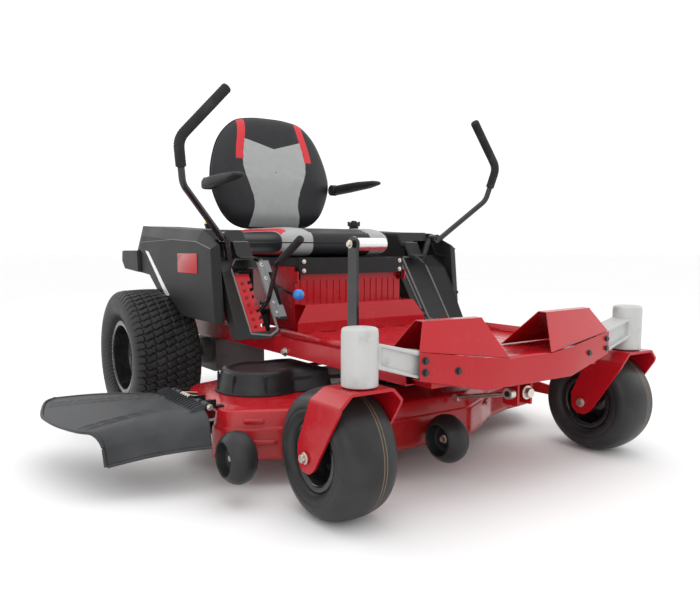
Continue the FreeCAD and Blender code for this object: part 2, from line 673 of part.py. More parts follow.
def deck_belt():
    """V belt round the three spindle pulleys, over the deck."""
    z = DECK_TOP + 38
    (ax, ay), (bx, by), (cx, cy) = [(x, y) for name, x, y in SPINDLES]
    r = 70.5

    def band(radius, z0, z1):
        places = ((ax, ay), (bx, by), (cx, cy))
        discs = [Part.makeCylinder(radius, z1 - z0, V(px, py, z0)) for px, py in places]
        runs = []
        for (px, py), (qx, qy) in (((ax, ay), (bx, by)), ((bx, by), (cx, cy)), ((cx, cy), (ax, ay))):
            way = V(qx - px, qy - py, 0).normalize()
            side = V(way.y, -way.x, 0) * radius
            start, end = V(px, py, z0), V(qx, qy, z0)
            corners = [start + side, end + side, end - side, start - side]
            runs.append(Part.Face(loop(corners)).extrude(V(0, 0, z1 - z0)))
        inner = Part.Face(loop([(ax, ay, z0), (bx, by, z0), (cx, cy, z0)])).extrude(V(0, 0, z1 - z0))
        return join(discs + runs + [inner])

    return band(r + 10, z, z + 10).cut(band(r, z - 1, z + 11))


def spindle(x, y):
    """Spindle: shaft, pulley, blade adaptor and lift blade."""
    shaft = rod(14, (x, y, DECK_BOTTOM + 24), (x, y, DECK_TOP + 56))
    pulley = rod(70, (x, y, DECK_TOP + 36), (x, y, DECK_TOP + 50))
    rims = [rod(77, (x, y, DECK_TOP + 34), (x, y, DECK_TOP + 36)), rod(77, (x, y, DECK_TOP + 50),
                                                                       (x, y, DECK_TOP + 52))]
    hub = rod(34, (x, y, DECK_BOTTOM + 30), (x, y, DECK_BOTTOM + 50))
    blade = box(x - BLADE_R + 4, y - 32, DECK_BOTTOM + 24, x + BLADE_R - 4, y + 32, DECK_BOTTOM + 30)
    lift = box(x - BLADE_R + 30, y + 32, DECK_BOTTOM + 24, x - 130, y + 38, DECK_BOTTOM + 44)
    lift_two = box(x + 130, y - 38, DECK_BOTTOM + 24, x + BLADE_R - 30, y - 32, DECK_BOTTOM + 44)
    return join([shaft, pulley, hub, blade, lift, lift_two] + rims)


def roller(x, y):
    """Anti-scalp roller: crowned, with a deep recess on its outer face."""
    outside = [(-32, 7), (-32, 40), (-24, 60), (-6, ROLLER_R), (6, ROLLER_R), (22, 62), (30, 46),
               (30, 20), (20, 20), (20, 7)]
    shape = turned([(a, r) for a, r in outside], (0, 0, 0))
    bore = rod(6 + FIT, (-60, 0, 0), (60, 0, 0))
    recess = turned([(-33, 16), (-33, 46), (-14, 40), (-14, 16)], (0, 0, 0))
    core = rod(20, (-30, 0, 0), (24, 0, 0))
    shape = join([shape, core]).cut(recess).cut(bore)
    shape.translate(V(x, y, ROLLER_Z))
    return shape


CHUTE_PLAN = [(-724, -860), (-990, -760), (-1052, -560), (-1060, -390), (-1012, -240), (-986, -236),
              (-760, -455), (-724, -560)]


def chute():
    """Moulded discharge chute: a sloping roof with downturned edges and hinge knuckles."""
    def roof_z(x):
        return 226 + (x + 716) * 0.19

    def sheet(points, drop):
        corners = [V(x, y, roof_z(x) - drop) for x, y in points]
        face = Part.Face(Part.Wire(Part.makePolygon(corners + corners[:1])))
        return face.extrude(V(0, 0, -4))

    roof = sheet(CHUTE_PLAN, 0)
    edge = CHUTE_PLAN[:5]
    skirts = []
    depth = {0: 96, 1: 84, 2: 30, 3: 14, 4: 8}
    for k in range(len(edge) - 1):
        (ax, ay), (bx, by) = edge[k], edge[k + 1]
        inward = V(-(by - ay), bx - ax, 0).normalize() * -4
        za, zb = roof_z(ax) - 1, roof_z(bx) - 1
        corners = [V(ax, ay, za), V(bx, by, zb), V(bx, by, zb - depth[k + 1]), V(ax, ay, za - depth[k])]
        skirts.append(Part.Face(Part.Wire(Part.makePolygon(corners + corners[:1]))).extrude(inward))
    knuckles = []
    hx, hz = CHUTE_HINGE
    for y0, y1 in ((-836, -806), (-646, -616)):
        knuckles.append(rod(10, (hx, y0, hz), (hx, y1, hz)))
        knuckles.append(box(hx - 26, y0, hz - 8, hx, y1, hz - 2))
    shape = join([roof] + skirts + knuckles)
    return shape.cut(rod(5 + FIT, (hx, -900, hz), (hx, -500, hz)))


def chute_hinge():
    """Hinge rod with its brackets on the deck, and the torsion spring round it."""
    hx, hz = CHUTE_HINGE
    bracket = []
    for y in (-804, -730, -614):
        bracket.append(box(hx - 8, y, hz - 8, hx + 8, y + 8, hz + 8))
        bracket.append(box(hx, y, DECK_TOP, -672, y + 8, hz + 8))
        bracket.append(box(-690, y - 6, DECK_TOP, -650, y + 14, DECK_TOP + 4))
    pin = rod(5, (hx, -848, hz), (hx, -588, hz))
    coil = ring(9, 6.5, (hx, -716, hz), (hx, -650, hz))
    return Part.makeCompound([join([pin] + bracket), coil])


def build():
    """Every node, in the design frame."""
    x, y = CAP_AXIS
    neck_hole = rod(26, (x, y, 700), (x, y, 800))
    nodes = {
        "main_frame": main_frame(),
        "front_bumper": front_bumper(),
        "floor_pan": floor_pan(),
        "footrests": footrests(),
        "seat_box": seat_box(),
        "frame_bolts": frame_bolts(),
        "rear_guard": rear_guard(),
        "control_mounts": control_mounts(),
        "fender_right": fender(),
        "fender_left": mirrored(fender()).cut(neck_hole),
        "console_right": console_right(),
        "console_left": console_left(),
        "height_gate": height_gate(),
        "engine_block": engine_block(),
        "engine_shroud": engine_shroud(),
        "muffler": muffler(),
        "fuel_tank": fuel_tank(),
        "fuel_cap": fuel_cap(),
        "hydro_drives": hydro_drives(),
        "height_lever": height_lever(),
        "height_grip": height_grip(),
        "pedal_arm": pedal_arm(),
        "pedal_roller": pedal_roller(),
        "speed_lever": speed_lever(),
        "speed_knob": speed_knob(),
        "seat_pan": seat_pan(),
        "seat_cushion": seat_cushion(),
        "seat_back": seat_back(),
        "deck_shell": deck_shell(),
        "deck_link": deck_link(),
        "deck_belt": deck_belt(),
        "belt_covers": belt_covers(),
        "chute": chute(),
        "chute_hinge": chute_hinge(),
    }
    for name, x, y in SPINDLES:
        nodes["spindle_" + name] = spindle(x, y)
    for name, x, y in ROLLERS:
        nodes["roller_" + name] = roller(x, y) if x < 200 else mirrored(roller(-x, y))
    made_right = {
        "caster_arm_": caster_arm(),
        "caster_fork_": caster_fork(),
        "caster_tyre_": caster_tyre(),
        "caster_rim_": caster_rim(),
        "rear_tyre_": rear_tyre(),
        "rear_rim_": rear_rim(),
    }
    made_left = {
        "lever_bracket_": lever_bracket(),
        "lever_tube_": lever_tube(),
        "lever_grip_": lever_grip(),
        "armrest_": armrest(),
    }
    for name, shape in made_right.items():
        nodes[name + "right"] = shape
        nodes[name + "left"] = mirrored(shape)
    for name, shape in made_left.items():
        nodes[name + "left"] = shape
        nodes[name + "right"] = mirrored(shape)
    return nodes


def base_centre(shapes):
    """The move that puts the middle of the footprint, on the ground, at the origin."""
    whole = FreeCAD.BoundBox()
    for shape in shapes:
        whole.add(shape.optimalBoundingBox(True, False))
    return V(-(whole.XMin + whole.XMax) / 2, -(whole.YMin + whole.YMax) / 2, -whole.ZMin)


NODES = build()
SHIFT = base_centre(NODES.values())
os.makedirs("parts", exist_ok=True)
for node, shape in NODES.items():
    moved = shape.copy()
    moved.translate(SHIFT)
    moved.exportStep(os.path.join("parts", node + ".step"))
print("shift", round(SHIFT.x, 3), round(SHIFT.y, 3), round(SHIFT.z, 3), "nodes", len(NODES))
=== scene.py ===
"""The looks of a zero turn mower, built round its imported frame.

Everything is in the frame's metres. Sizes in the sections are in the maker's millimetres, measured
from the middle of the rear axle on the ground: nose towards -Y, the operator's left at +X.
"""
import math
import bmesh
import bpy
import numpy as np
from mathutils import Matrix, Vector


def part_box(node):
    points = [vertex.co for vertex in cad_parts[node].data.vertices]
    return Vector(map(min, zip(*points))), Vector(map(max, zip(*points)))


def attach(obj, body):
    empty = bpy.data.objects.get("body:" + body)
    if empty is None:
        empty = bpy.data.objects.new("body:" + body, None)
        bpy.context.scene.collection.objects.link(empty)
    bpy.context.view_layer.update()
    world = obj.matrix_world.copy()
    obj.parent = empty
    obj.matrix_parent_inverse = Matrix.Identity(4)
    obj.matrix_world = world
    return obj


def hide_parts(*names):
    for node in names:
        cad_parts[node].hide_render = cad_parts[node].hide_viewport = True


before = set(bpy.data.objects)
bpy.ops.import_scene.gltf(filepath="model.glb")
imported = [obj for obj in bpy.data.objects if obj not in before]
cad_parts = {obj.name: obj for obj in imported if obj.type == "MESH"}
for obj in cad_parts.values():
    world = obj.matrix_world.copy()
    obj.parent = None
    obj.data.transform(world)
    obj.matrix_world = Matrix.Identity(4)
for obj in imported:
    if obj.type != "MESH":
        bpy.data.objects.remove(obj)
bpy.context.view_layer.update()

# ---------------------------------------------------------------------------------------------
# The maker's origin. The two drive tyres stand on the ground either side of it, so their boxes
# give its place in the frame.

tyre_right, tyre_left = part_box("rear_tyre_right"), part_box("rear_tyre_left")
ORIGIN = np.array([(tyre_right[0].x + tyre_left[1].x) / 2, (tyre_right[0].y + tyre_right[1].y) / 2, 0.0])


def metres(points):
    """The maker's millimetres as the frame's metres: a thousandth of each, then the origin's shift."""
    return np.asarray(points, float) / 1000 + ORIGIN


# ---------------------------------------------------------------------------------------------
# Studio: a wide pale floor under plain soft light, and a long camera at a standing person's knee
# height, off the machine's right front corner.

CAMERA_AT = (-1463.7, -2562.2, 670.2)
CAMERA_TURN = (90 - 5.72, 0.0, -34.13)
LENS = 35.15
FLOOR_HALF = 60.0


class Value:
    """A shader socket that can stand in a sum: each sum on values adds its Math node."""

    def __init__(self, finish, socket):
        self.finish, self.socket = finish, socket

    def sum(self, operation, first, second=0.0):
        return self.finish.node("Math", {"operation": operation}, {0: first, 1: second})

    def __add__(self, other):
        return self.sum("ADD", self, other)

    def __radd__(self, other):
        return self.sum("ADD", other, self)

    def __sub__(self, other):
        return self.sum("SUBTRACT", self, other)

    def __rsub__(self, other):
        return self.sum("SUBTRACT", other, self)

    def __mul__(self, other):
        return self.sum("MULTIPLY", self, other)

    def __rmul__(self, other):
        return self.sum("MULTIPLY", other, self)

    def __truediv__(self, other):
        return self.sum("DIVIDE", self, other)

    def __gt__(self, other):
        return self.sum("GREATER_THAN", self, other)

    def __lt__(self, other):
        return self.sum("LESS_THAN", self, other)


class Finish:
    """A paint, plastic, rubber or cloth under way. node() adds any node: its settings are set
    first, then each socket gets its number, colour or link."""

    def __init__(self, name):
        self.material = bpy.data.materials.new(name)
        self.material.use_nodes = True
        self.tree = self.material.node_tree
        self.tree.nodes.clear()

    def node(self, kind, settings=None, sockets=None, output=0):
        made = self.tree.nodes.new("ShaderNode" + kind)
        for key, value in (settings or {}).items():
            if key == "stops":
                for stop, (place, colour) in zip(made.color_ramp.elements, value):
                    stop.position, stop.color = place, (*colour, 1)
            else:
                setattr(made, key, value)
        for key, value in (sockets or {}).items():
            if isinstance(value, Value):
                self.tree.links.new(value.socket, made.inputs[key])
            else:
                made.inputs[key].default_value = value
        return Value(self, made.outputs[output]) if made.outputs else None

    def place(self, turn=(0, 0, 0), stretch=(1, 1, 1), middle=(0, 0, 0)):
        """Object coordinates, in metres, turned and stretched about a middle."""
        here = self.node("TexCoord", output="Object")
        offset = [-m * s for m, s in zip(middle, stretch)]
        return self.node("Mapping", {}, {"Vector": here, "Scale": stretch, "Rotation": turn,
                                         "Location": offset})

    def noise(self, scale, detail=3.0, rough=0.5, vector=None):
        """Noise from 0 to 1 with about one blob in each 1/scale metres."""
        vector = vector or self.place()
        return self.node("TexNoise", {}, {"Vector": vector, "Scale": scale, "Detail": detail,
                                          "Roughness": rough})

    def band(self, value, low, high, to_low=0.0, to_high=1.0):
        """A smooth step from one number to another as value goes from low to high."""
        return self.node("MapRange", {"interpolation_type": "SMOOTHSTEP"},
                         {"Value": value, "From Min": low, "From Max": high, "To Min": to_low,
                          "To Max": to_high})

    def blend(self, share, first, second):
        """The first colour where share is 0 and the second where it is 1."""
        first, second = [(*c, 1) if isinstance(c, tuple) else c for c in (first, second)]
        return self.node("Mix", {"data_type": "RGBA"}, {0: share, 6: first, 7: second}, 2)

    def dents(self, height, depth, strength=1.0, under=None):
        """A bump of height times depth metres, over another bump if there is one."""
        sockets = {"Height": height, "Distance": depth, "Strength": strength}
        if under:
            sockets["Normal"] = under
        return self.node("Bump", {}, sockets)

    def done(self, colour, rough, normal=None, metal=0.0, **fixed):
        """Closes the material with its surface. fixed are sockets that are the same all over."""
        sockets = {"Base Color": (*colour, 1) if isinstance(colour, tuple) else colour,
                   "Roughness": rough, "Metallic": metal, "IOR": 1.34}
        if normal:
            sockets["Normal"] = normal
        sockets.update({key.replace("_", " "): value for key, value in fixed.items()})
        surface = self.node("BsdfPrincipled", {}, sockets)
        self.node("OutputMaterial", {}, {"Surface": surface})
        return self.material


def mesh_of(name, points, faces):
    """A mesh object from an array of points, in metres, and lists of corner numbers."""
    mesh = bpy.data.meshes.new(name)
    mesh.from_pydata(np.asarray(points, float).reshape(-1, 3).tolist(), [], faces)
    mesh.validate()
    obj = bpy.data.objects.new(name, mesh)
    bpy.context.scene.collection.objects.link(obj)
    return obj


def pale_floor():
    """The floor's slightly uneven, matt white."""
    f = Finish("pale_floor")
    shade = f.noise(0.7)
    return f.done(f.blend(shade, (0.86, 0.86, 0.86), (0.89, 0.89, 0.89)), 0.75 + 0.1 * shade, IOR=1.2)


floor = mesh_of("floor", [(a * FLOOR_HALF, b * FLOOR_HALF, 0) for a,
                          b in ((-1, -1), (1, -1), (1, 1), (-1, 1))],
                [(0, 1, 2, 3)])
floor.data.materials.append(pale_floor())

scene = bpy.context.scene
scene.view_settings.view_transform = "Standard"
world = bpy.data.worlds.new("studio")
world.use_nodes = True
world.node_tree.nodes["Background"].inputs[0].default_value = (1.0, 1.0, 1.0, 1)
world.node_tree.nodes["Background"].inputs[1].default_value = 1.12
scene.world = world


def soft_light(name, place, aim, size, power):
    """A square soft box at place, turned to shine at aim."""
    lamp = bpy.data.lights.new(name, "AREA")
    lamp.shape, lamp.size, lamp.size_y, lamp.energy = "RECTANGLE", size[0], size[1], power
    obj = bpy.data.objects.new(name, lamp)
    start, end = metres(place), metres(aim)
    obj.location = start
    reach = end - start
    obj.rotation_euler = (math.acos(-reach[2] / np.linalg.norm(reach)), 0,
                          math.atan2(reach[1], reach[0]) - math.pi / 2)
    scene.collection.objects.link(obj)


soft_light("overhead", (-300, -900, 3600), (0, -500, 300), (3.4, 3.4), 34)
soft_light("front_fill", (-2900, -3300, 1900), (0, -700, 400), (2.2, 2.2), 16)
soft_light("left_side", (3300, -2300, 2100), (0, -700, 400), (1.6, 2.4), 14)
soft_light("back_edge", (-2200, 2600, 2300), (0, 0, 500), (2.4, 1.6), 16)

lens = bpy.data.cameras.new("camera")
lens.lens, lens.sensor_width, lens.clip_end = LENS, 36.0, 200.0
lens.shift_x, lens.shift_y = 0.0239, 0.0223
camera = bpy.data.objects.new("camera", lens)
camera.location = metres(CAMERA_AT)
camera.rotation_euler = [math.radians(a) for a in CAMERA_TURN]
scene.collection.objects.link(camera)
scene.camera = camera


# ---------------------------------------------------------------------------------------------
# Drive tyres: turf tyres, 20 inches high and 10 wide. The moulded tread is seven rows of waved
# blocks, each row half a block behind the next; the outer rows run on as lugs to the side wall.

REAR_R = (tyre_right[1].z - tyre_right[0].z) * 500
REAR_HALF = (tyre_right[1].x - tyre_right[0].x) * 500
REAR_X = (tyre_left[0].x + tyre_left[1].x - 2 * ORIGIN[0]) * 500
ROW_PITCH = 37.0
BLOCKS_ROUND = 60
GROOVE_DEPTH = 7.0
SIDES = (("right", -1), ("left", 1))


def smoothed(points, count):
    """count points along a curve through the given ones: cubic pieces whose slope at each point is
    half the run between its neighbours (Catmull and Rom), then spaced evenly along the length."""
    p = np.asarray(points, float)
    p = np.vstack([2 * p[0] - p[1], p, 2 * p[-1] - p[-2]])
    t = np.linspace(0, 1, 16, endpoint=False)[:, None]
    runs = [0.5 * (2 * b + (c - a) * t + (2 * a - 5 * b + 4 * c - d) * t ** 2
                   + (3 * b - a - 3 * c + d) * t ** 3)
            for a, b, c, d in zip(p, p[1:], p[2:], p[3:])]
    line = np.vstack(runs + [p[-2:-1]])
    along = np.concatenate([[0], np.cumsum(np.linalg.norm(np.diff(line, axis=0), axis=1))])
    even = np.linspace(0, along[-1], count)
    return np.stack([np.interp(even, along, line[:, k]) for k in range(line.shape[1])], axis=1)


def grid(points, close_rows=False, close_columns=False):
    """Points of an (n, m, 3) array and its four-cornered faces, closed round either way if asked."""
    n, m = points.shape[:2]
    i, j = np.meshgrid(np.arange(n if close_rows else n - 1), np.arange(m if close_columns else m - 1),
                       indexing="ij")
    i, j, k, l = i.ravel(), j.ravel(), (i.ravel() + 1) % n, (j.ravel() + 1) % m
    faces = np.stack([i * m + j, k * m + j, k * m + l, i * m + l], axis=1)
    return points.reshape(-1, 3), faces.tolist()


def merged(parts):
    """Several (points, faces) as one."""
    points, faces, count = [], [], 0
    for some, theirs in parts:
        points.append(np.asarray(some, float).reshape(-1, 3))
        faces += [[c + count for c in face] for face in theirs]
        count += len(points[-1])
    return np.vstack(points), faces


def mirrored(part):
    """The other side's copy of (points, faces)."""
    points, faces = part
    return np.asarray(points, float).reshape(-1, 3) * (-1, 1, 1), faces


def moved(part, by):
    """(points, faces) moved by a vector."""
    return np.asarray(part[0], float).reshape(-1, 3) + by, part[1]


def turned(profile, centre, count=96, axis=0, bumps=None):
    """A profile of (along, radius) carried round an axis through centre: the point at angle a is
    centre + along on the axis + radius (cos a, sin a) across it. bumps(along, angle) adds to radius."""
    profile = np.asarray(profile, float)
    angle = np.linspace(0, 2 * np.pi, count, endpoint=False)
    a, radius = np.meshgrid(angle, profile[:, 1])
    along = np.repeat(profile[:, :1], count, axis=1)
    if bumps:
        radius = radius + bumps(along, a)
    across = (radius * np.cos(a), radius * np.sin(a))
    order = {0: (along, across[0], across[1]), 1: (across[1], along, across[0]),
             2: (across[0], across[1], along)}
    return grid(np.stack(order[axis], axis=2) + np.asarray(centre, float), close_columns=True)


def piece(name, part, finish, body, replaces=(), wall=0.0, edge=0.0, angle=35):
    """A finished piece: (points, faces) in millimetres becomes a mesh in its place, with its seams
    closed and its faces turned outwards. wall thickens a sheet, edge rounds its corners, and faces
    that meet under angle degrees shade as one."""
    points, faces = part
    obj = mesh_of(name, metres(points), faces)
    work = bmesh.new()
    work.from_mesh(obj.data)
    bmesh.ops.remove_doubles(work, verts=work.verts, dist=0.00002)
    bmesh.ops.recalc_face_normals(work, faces=work.faces)
    work.to_mesh(obj.data)
    work.free()
    obj.data.materials.append(finish)
    obj.data.polygons.foreach_set("use_smooth", [True] * len(obj.data.polygons))
    obj.data.set_sharp_from_angle(angle=math.radians(angle))
    if wall:
        shell = obj.modifiers.new("wall", "SOLIDIFY")
        shell.thickness, shell.offset = abs(wall) / 1000, -math.copysign(1, wall)
    if edge:
        corner = obj.modifiers.new("edge", "BEVEL")
        corner.width, corner.segments, corner.limit_method = edge / 1000, 2, "ANGLE"
        corner.angle_limit, corner.harden_normals = math.radians(angle), True
    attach(obj, body)
    if replaces:
        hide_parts(*replaces)
    return obj


def tread(along, angle):
    """How deep the grooves are: blocks are the cells round points set in staggered rows, warped by a
    wave, and the depth steps down where the two nearest points are about equally far."""
    row_of = np.clip(np.round(along / ROW_PITCH), -3, 3)
    turn = angle / (2 * np.pi) * BLOCKS_ROUND
    pitch = 2 * np.pi * REAR_R / BLOCKS_ROUND
    turn = (turn + 0.16 * np.sin(2 * np.pi * along / ROW_PITCH)
            + 0.55 * np.clip(np.abs(along) / ROW_PITCH - 2.4, 0, 2))
    distances = []
    for step in (-1, 0, 1):
        row = row_of + step
        outside = (np.abs(row) > 3) * 500.0
        stagger = 0.5 * (row % 2)
        nearest = np.round(turn - stagger) + stagger
        away_x = np.where((np.abs(row) == 3) & (np.abs(along) > 3 * ROW_PITCH), 0,
                          along - row * ROW_PITCH) + outside
        for other in (-1, 0, 1):
            distances.append(np.hypot(away_x, (turn - nearest - other) * pitch))
    distances = np.sort(np.stack(distances), axis=0)
    gap = distances[1] - distances[0]
    block = np.clip((gap - 3.2) / 3.4, 0, 1)
    block = block * block * (3 - 2 * block)
    fade = np.clip((REAR_HALF - 1.5 - np.abs(along)) / 8, 0, 1)
    return -GROOVE_DEPTH * (1 - block) * fade


def tyre_finish(name, shine=0.5, lines=()):
    """Black rubber, greyed a little by dust, with thin tan mould lines round the tread where lines are
    given.
    """
    f = Finish(name)
    dust = f.band(f.noise(9, 5), 0.35, 0.75)
    fine = f.noise(900, 2)
    colour = f.blend(dust, (0.016, 0.016, 0.017), (0.032, 0.032, 0.033))
    here = f.node("SeparateXYZ", {}, {0: f.place()})
    for centre in lines:
        away = here - (centre / 1000 + ORIGIN[0])
        away = away.sum("ABSOLUTE", away)
        colour = f.blend(f.band(away, 0.0005, 0.0014, 1, 0) * (0.35 + 0.5 * f.noise(60)), colour,
                         (0.35, 0.22, 0.12))
    return f.done(colour, f.band(dust, 0, 1, shine - 0.08, shine + 0.1), f.dents(fine, 0.0004, 0.35))


rear_rubber = tyre_finish("drive_tyre_rubber", 0.55)
half_wall = [(-96, 128), (-97, 140), (-110, 151), (-120, 172), (-124.5, 196), (-121, 222), (-112, 240),
             (-96, 249.5), (-60, 252.5), (0, REAR_R)]
tyre_outside = smoothed(half_wall + [(-x, r) for x, r in half_wall[-2::-1]], 132)
tyre_inside = [(84, 128), (84, 148), (106, 166), (111, 190), (103, 226), (84, 236), (0, 240), (-84, 236),
               (-103, 226), (-111, 190), (-106, 166), (-84, 148), (-84, 128), (-96, 128)]
carcass = turned(np.vstack([tyre_outside, tyre_inside]), (0, 0, 0), 620, bumps=tread)
for side, sign in SIDES:
    piece("turf_tyre_" + side, moved(carcass if sign < 0 else mirrored(carcass), (sign * REAR_X, 0, REAR_R)),
          rear_rubber, "rear_wheel_" + side, ["rear_tyre_" + side], angle=50)


# ---------------------------------------------------------------------------------------------
# Drive rims: pressed steel halves welded to a dished centre, painted gloss black, with rolled lips,
# a hub, five lug nuts and a valve.


def gloss_black(name):
    """Black enamel: a little orange peel and rub marks in the gloss."""
    f = Finish(name)
    scuff = f.band(f.noise(14, 6, 0.6), 0.45, 0.8)
    return f.done(f.blend(scuff, (0.012, 0.012, 0.013), (0.028, 0.028, 0.03)), 0.2 + 0.22 * scuff,
                  f.dents(f.noise(260, 2), 0.0003, 0.25), Coat_Weight=0.5, Coat_Roughness=0.08)


def hexagon_head(place, facing, radius=8.0, height=7.0, washer=11.5):
    """A chamfered hexagon head on its round washer, facing an axis such as '-x': rings of a distance
    along the axis and a radius, which above the washer follows the hexagon's flats."""
    axis, sign = "xyz".index(facing[1]), -1 if facing[0] == "-" else 1
    turn = np.linspace(0, 2 * np.pi, 24, endpoint=False)
    hexagon = math.cos(math.pi / 6) / np.cos(turn % (np.pi / 3) - np.pi / 6)
    rings = [(0, washer, 1), (1.6, washer, 1), (2, washer - 0.6, 1), (2, radius, 0),
             (2 + height * 0.8, radius, 0),
             (2 + height, radius * 0.86, 1), (2 + height, 0.01, 1)]
    out = np.zeros((len(rings), 24, 3))
    first, second = [k for k in range(3) if k != axis]
    for row, (along, reach, is_round) in zip(out, rings):
        row[:, axis] = sign * along
        row[:, first] = reach * (1 if is_round else hexagon) * np.cos(turn)
        row[:, second] = reach * (1 if is_round else hexagon) * np.sin(turn)
    return grid(out + np.asarray(place, float), close_columns=True)


rim_black = gloss_black("rim_enamel")
lip = [(84, 126), (97, 127.4), (98, 138), (101, 140), (103.5, 138), (103.5, 124), (100, 120), (70, 117),
       (44, 113), (30, 108)]
barrel = turned(smoothed(lip + [(-x, r) for x, r in lip[::-1]], 110), (0, 0, 0), 120)
dish = turned(smoothed([(-2, 113), (-6, 108), (-18, 92), (-26, 78), (-27, 62), (-24, 50), (-24, 44),
                        (-40, 42),
                        (-43, 36), (-43, 20), (-36, 17), (-36, 0.1)], 60), (0, 0, 0), 120)
dish_back = turned([(0, 113), (-20, 78), (-20, 40), (18, 40), (18, 26)], (0, 0, 0), 96)
lugs = [hexagon_head((-26, 57 * math.cos(a), 57 * math.sin(a)), "-x", 9, 12, 13)
        for a in np.radians(np.arange(5) * 72 + 18)]
valve = turned([(-30, 0.1), (-30, 4), (-10, 4.5), (-4, 6)], (0, 100, 0), 16)
drive_rim = merged([barrel, dish, dish_back, valve] + lugs)
for side, sign in SIDES:
    part = moved(drive_rim if sign < 0 else mirrored(drive_rim), (sign * REAR_X, 0, REAR_R))
    piece("drive_rim_" + side, part, rim_black, "rear_wheel_" + side, ["rear_rim_" + side])


# ---------------------------------------------------------------------------------------------
# Caster tyres: smooth 13 inch pneumatic tyres with a rounded crown, a raised ring on each wall and
# two thin tan mould lines round the tread. The rim is pressed steel on a long bearing hub.

tyre_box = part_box("caster_tyre_right")
CAST_R = (tyre_box[1].z - tyre_box[0].z) * 500
CAST_X = (ORIGIN[0] * 2 - tyre_box[0].x - tyre_box[1].x) * 500
WHEEL_Y = (tyre_box[0].y + tyre_box[1].y - ORIGIN[1] * 2) * 500
TRAIL = 92.0
SWIVEL_Y = WHEEL_Y - TRAIL

half_wall = [(-64, 77), (-65, 88), (-74, 93), (-80, 103), (-82, 113), (-80.5, 116), (-82.5, 121), (-80, 134),
             (-74, 145), (-62, 154.5), (-46, 160), (-24, 163.8), (0, CAST_R)]
caster_outside = smoothed(half_wall + [(-x, r) for x, r in half_wall[-2::-1]], 110)
caster_inside = [(54, 77), (54, 94), (70, 102), (72, 118), (64, 138), (0, 154), (-64, 138), (-72, 118),
                 (-70, 102), (-54, 94), (-54, 77), (-64, 77)]
caster_carcass = turned(np.vstack([caster_outside, caster_inside]), (0, 0, 0), 160)
lip = [(56, 74), (63, 76), (64.5, 86), (67, 88), (69.5, 86), (69, 74), (60, 69), (36, 66), (16, 62)]
caster_barrel = turned(smoothed(lip + [(-x, r) for x, r in lip[::-1]], 90), (0, 0, 0), 96)
web = turned(smoothed([(-5, 66), (-9, 58), (-20, 44), (-26, 30), (-30, 24), (-60, 22), (-78, 20),
                       (-78, 9.6)], 40),
             (0, 0, 0), 72)
caster_rim = merged([caster_barrel, web, mirrored(web)])
for side, sign in SIDES:
    middle = (sign * CAST_X, WHEEL_Y, CAST_R)
    rubber = tyre_finish("caster_rubber_" + side, 0.42, (sign * CAST_X + 20, sign * CAST_X + 29))
    piece("smooth_tyre_" + side, moved(caster_carcass, middle), rubber,
          "caster_wheel_" + side,
          ["caster_tyre_" + side], angle=60)
    piece("caster_rim_" + side + "_shell", moved(caster_rim, middle), rim_black,
          "caster_wheel_" + side, ["caster_rim_" + side])


# ---------------------------------------------------------------------------------------------
# Caster forks: one strip of 8 mm steel bent over the wheel, its legs cut to taper back to the axle,
# powder coated red. A stem is welded on top, and a zinc plated bolt holds the wheel.


def red_paint(name, grime=0.0):
    """Gloss red powder coat: a fine orange peel, a slow drift of shade and dull handling marks, and
    a film of dust low down if grime is given."""
    f = Finish(name)
    drift = f.noise(3.5, 2)
    rub = f.band(f.noise(11, 6, 0.62), 0.5, 0.82)
    colour = f.blend(drift, (0.36, 0.004, 0.009), (0.44, 0.006, 0.013))
    colour = f.blend(rub * 0.3, colour, (0.46, 0.022, 0.028))
    if grime:
        low = f.node("SeparateXYZ", {}, {0: f.place()}, 2)
        colour = f.blend(f.band(low, 0.06, 0.24, grime, 0) * f.noise(30, 5), colour, (0.22, 0.06, 0.045))
    return f.done(colour, 0.24 + 0.2 * rub, f.dents(f.noise(320, 2), 0.00035, 0.3), Coat_Weight=0.2,
                  Coat_Roughness=0.12)


def zinc_plate(name, gold=0.5):
    """Zinc plating: a bright metal with patches of straw and rose from the passivation."""
    f = Finish(name)
    patch = f.band(f.noise(120, 4), 0.35, 0.7)
    colour = f.blend(patch * gold, (0.62, 0.61, 0.59), (0.68, 0.50, 0.26))
    return f.done(colour, 0.28 + 0.16 * f.noise(300), f.dents(f.noise(700), 0.0002, 0.3), 1.0)


def rounded_line(points, radius, steps=6):
    """A line of straight runs whose corners are arcs: each arc starts and ends radius times the
    tangent of half the turn away from its corner. The last numbers of a point may carry widths."""
    p = np.asarray(points, float)
    out = [p[:1]]
    for before, corner, after in zip(p, p[1:], p[2:]):
        a, b = before - corner, after - corner
        la, lb = np.linalg.norm(a), np.linalg.norm(b)
        turn = math.pi - math.acos(np.clip(np.dot(a, b) / la / lb, -1, 1))
        reach = min(radius * math.tan(turn / 2), 0.45 * la, 0.45 * lb)
        t = np.linspace(0, 1, steps)[:, None]
        first, last = corner + a / la * reach, corner + b / lb * reach
        out.append((1 - t) ** 2 * first + 2 * t * (1 - t) * corner + t ** 2 * last)
    return np.vstack(out + [p[-1:]])


def leg_edge(z, outline):
    """How far back an edge of the leg stands at height z: straight runs between its corners."""
    heights, backs = zip(*sorted(outline))
    return np.interp(z, heights, backs)


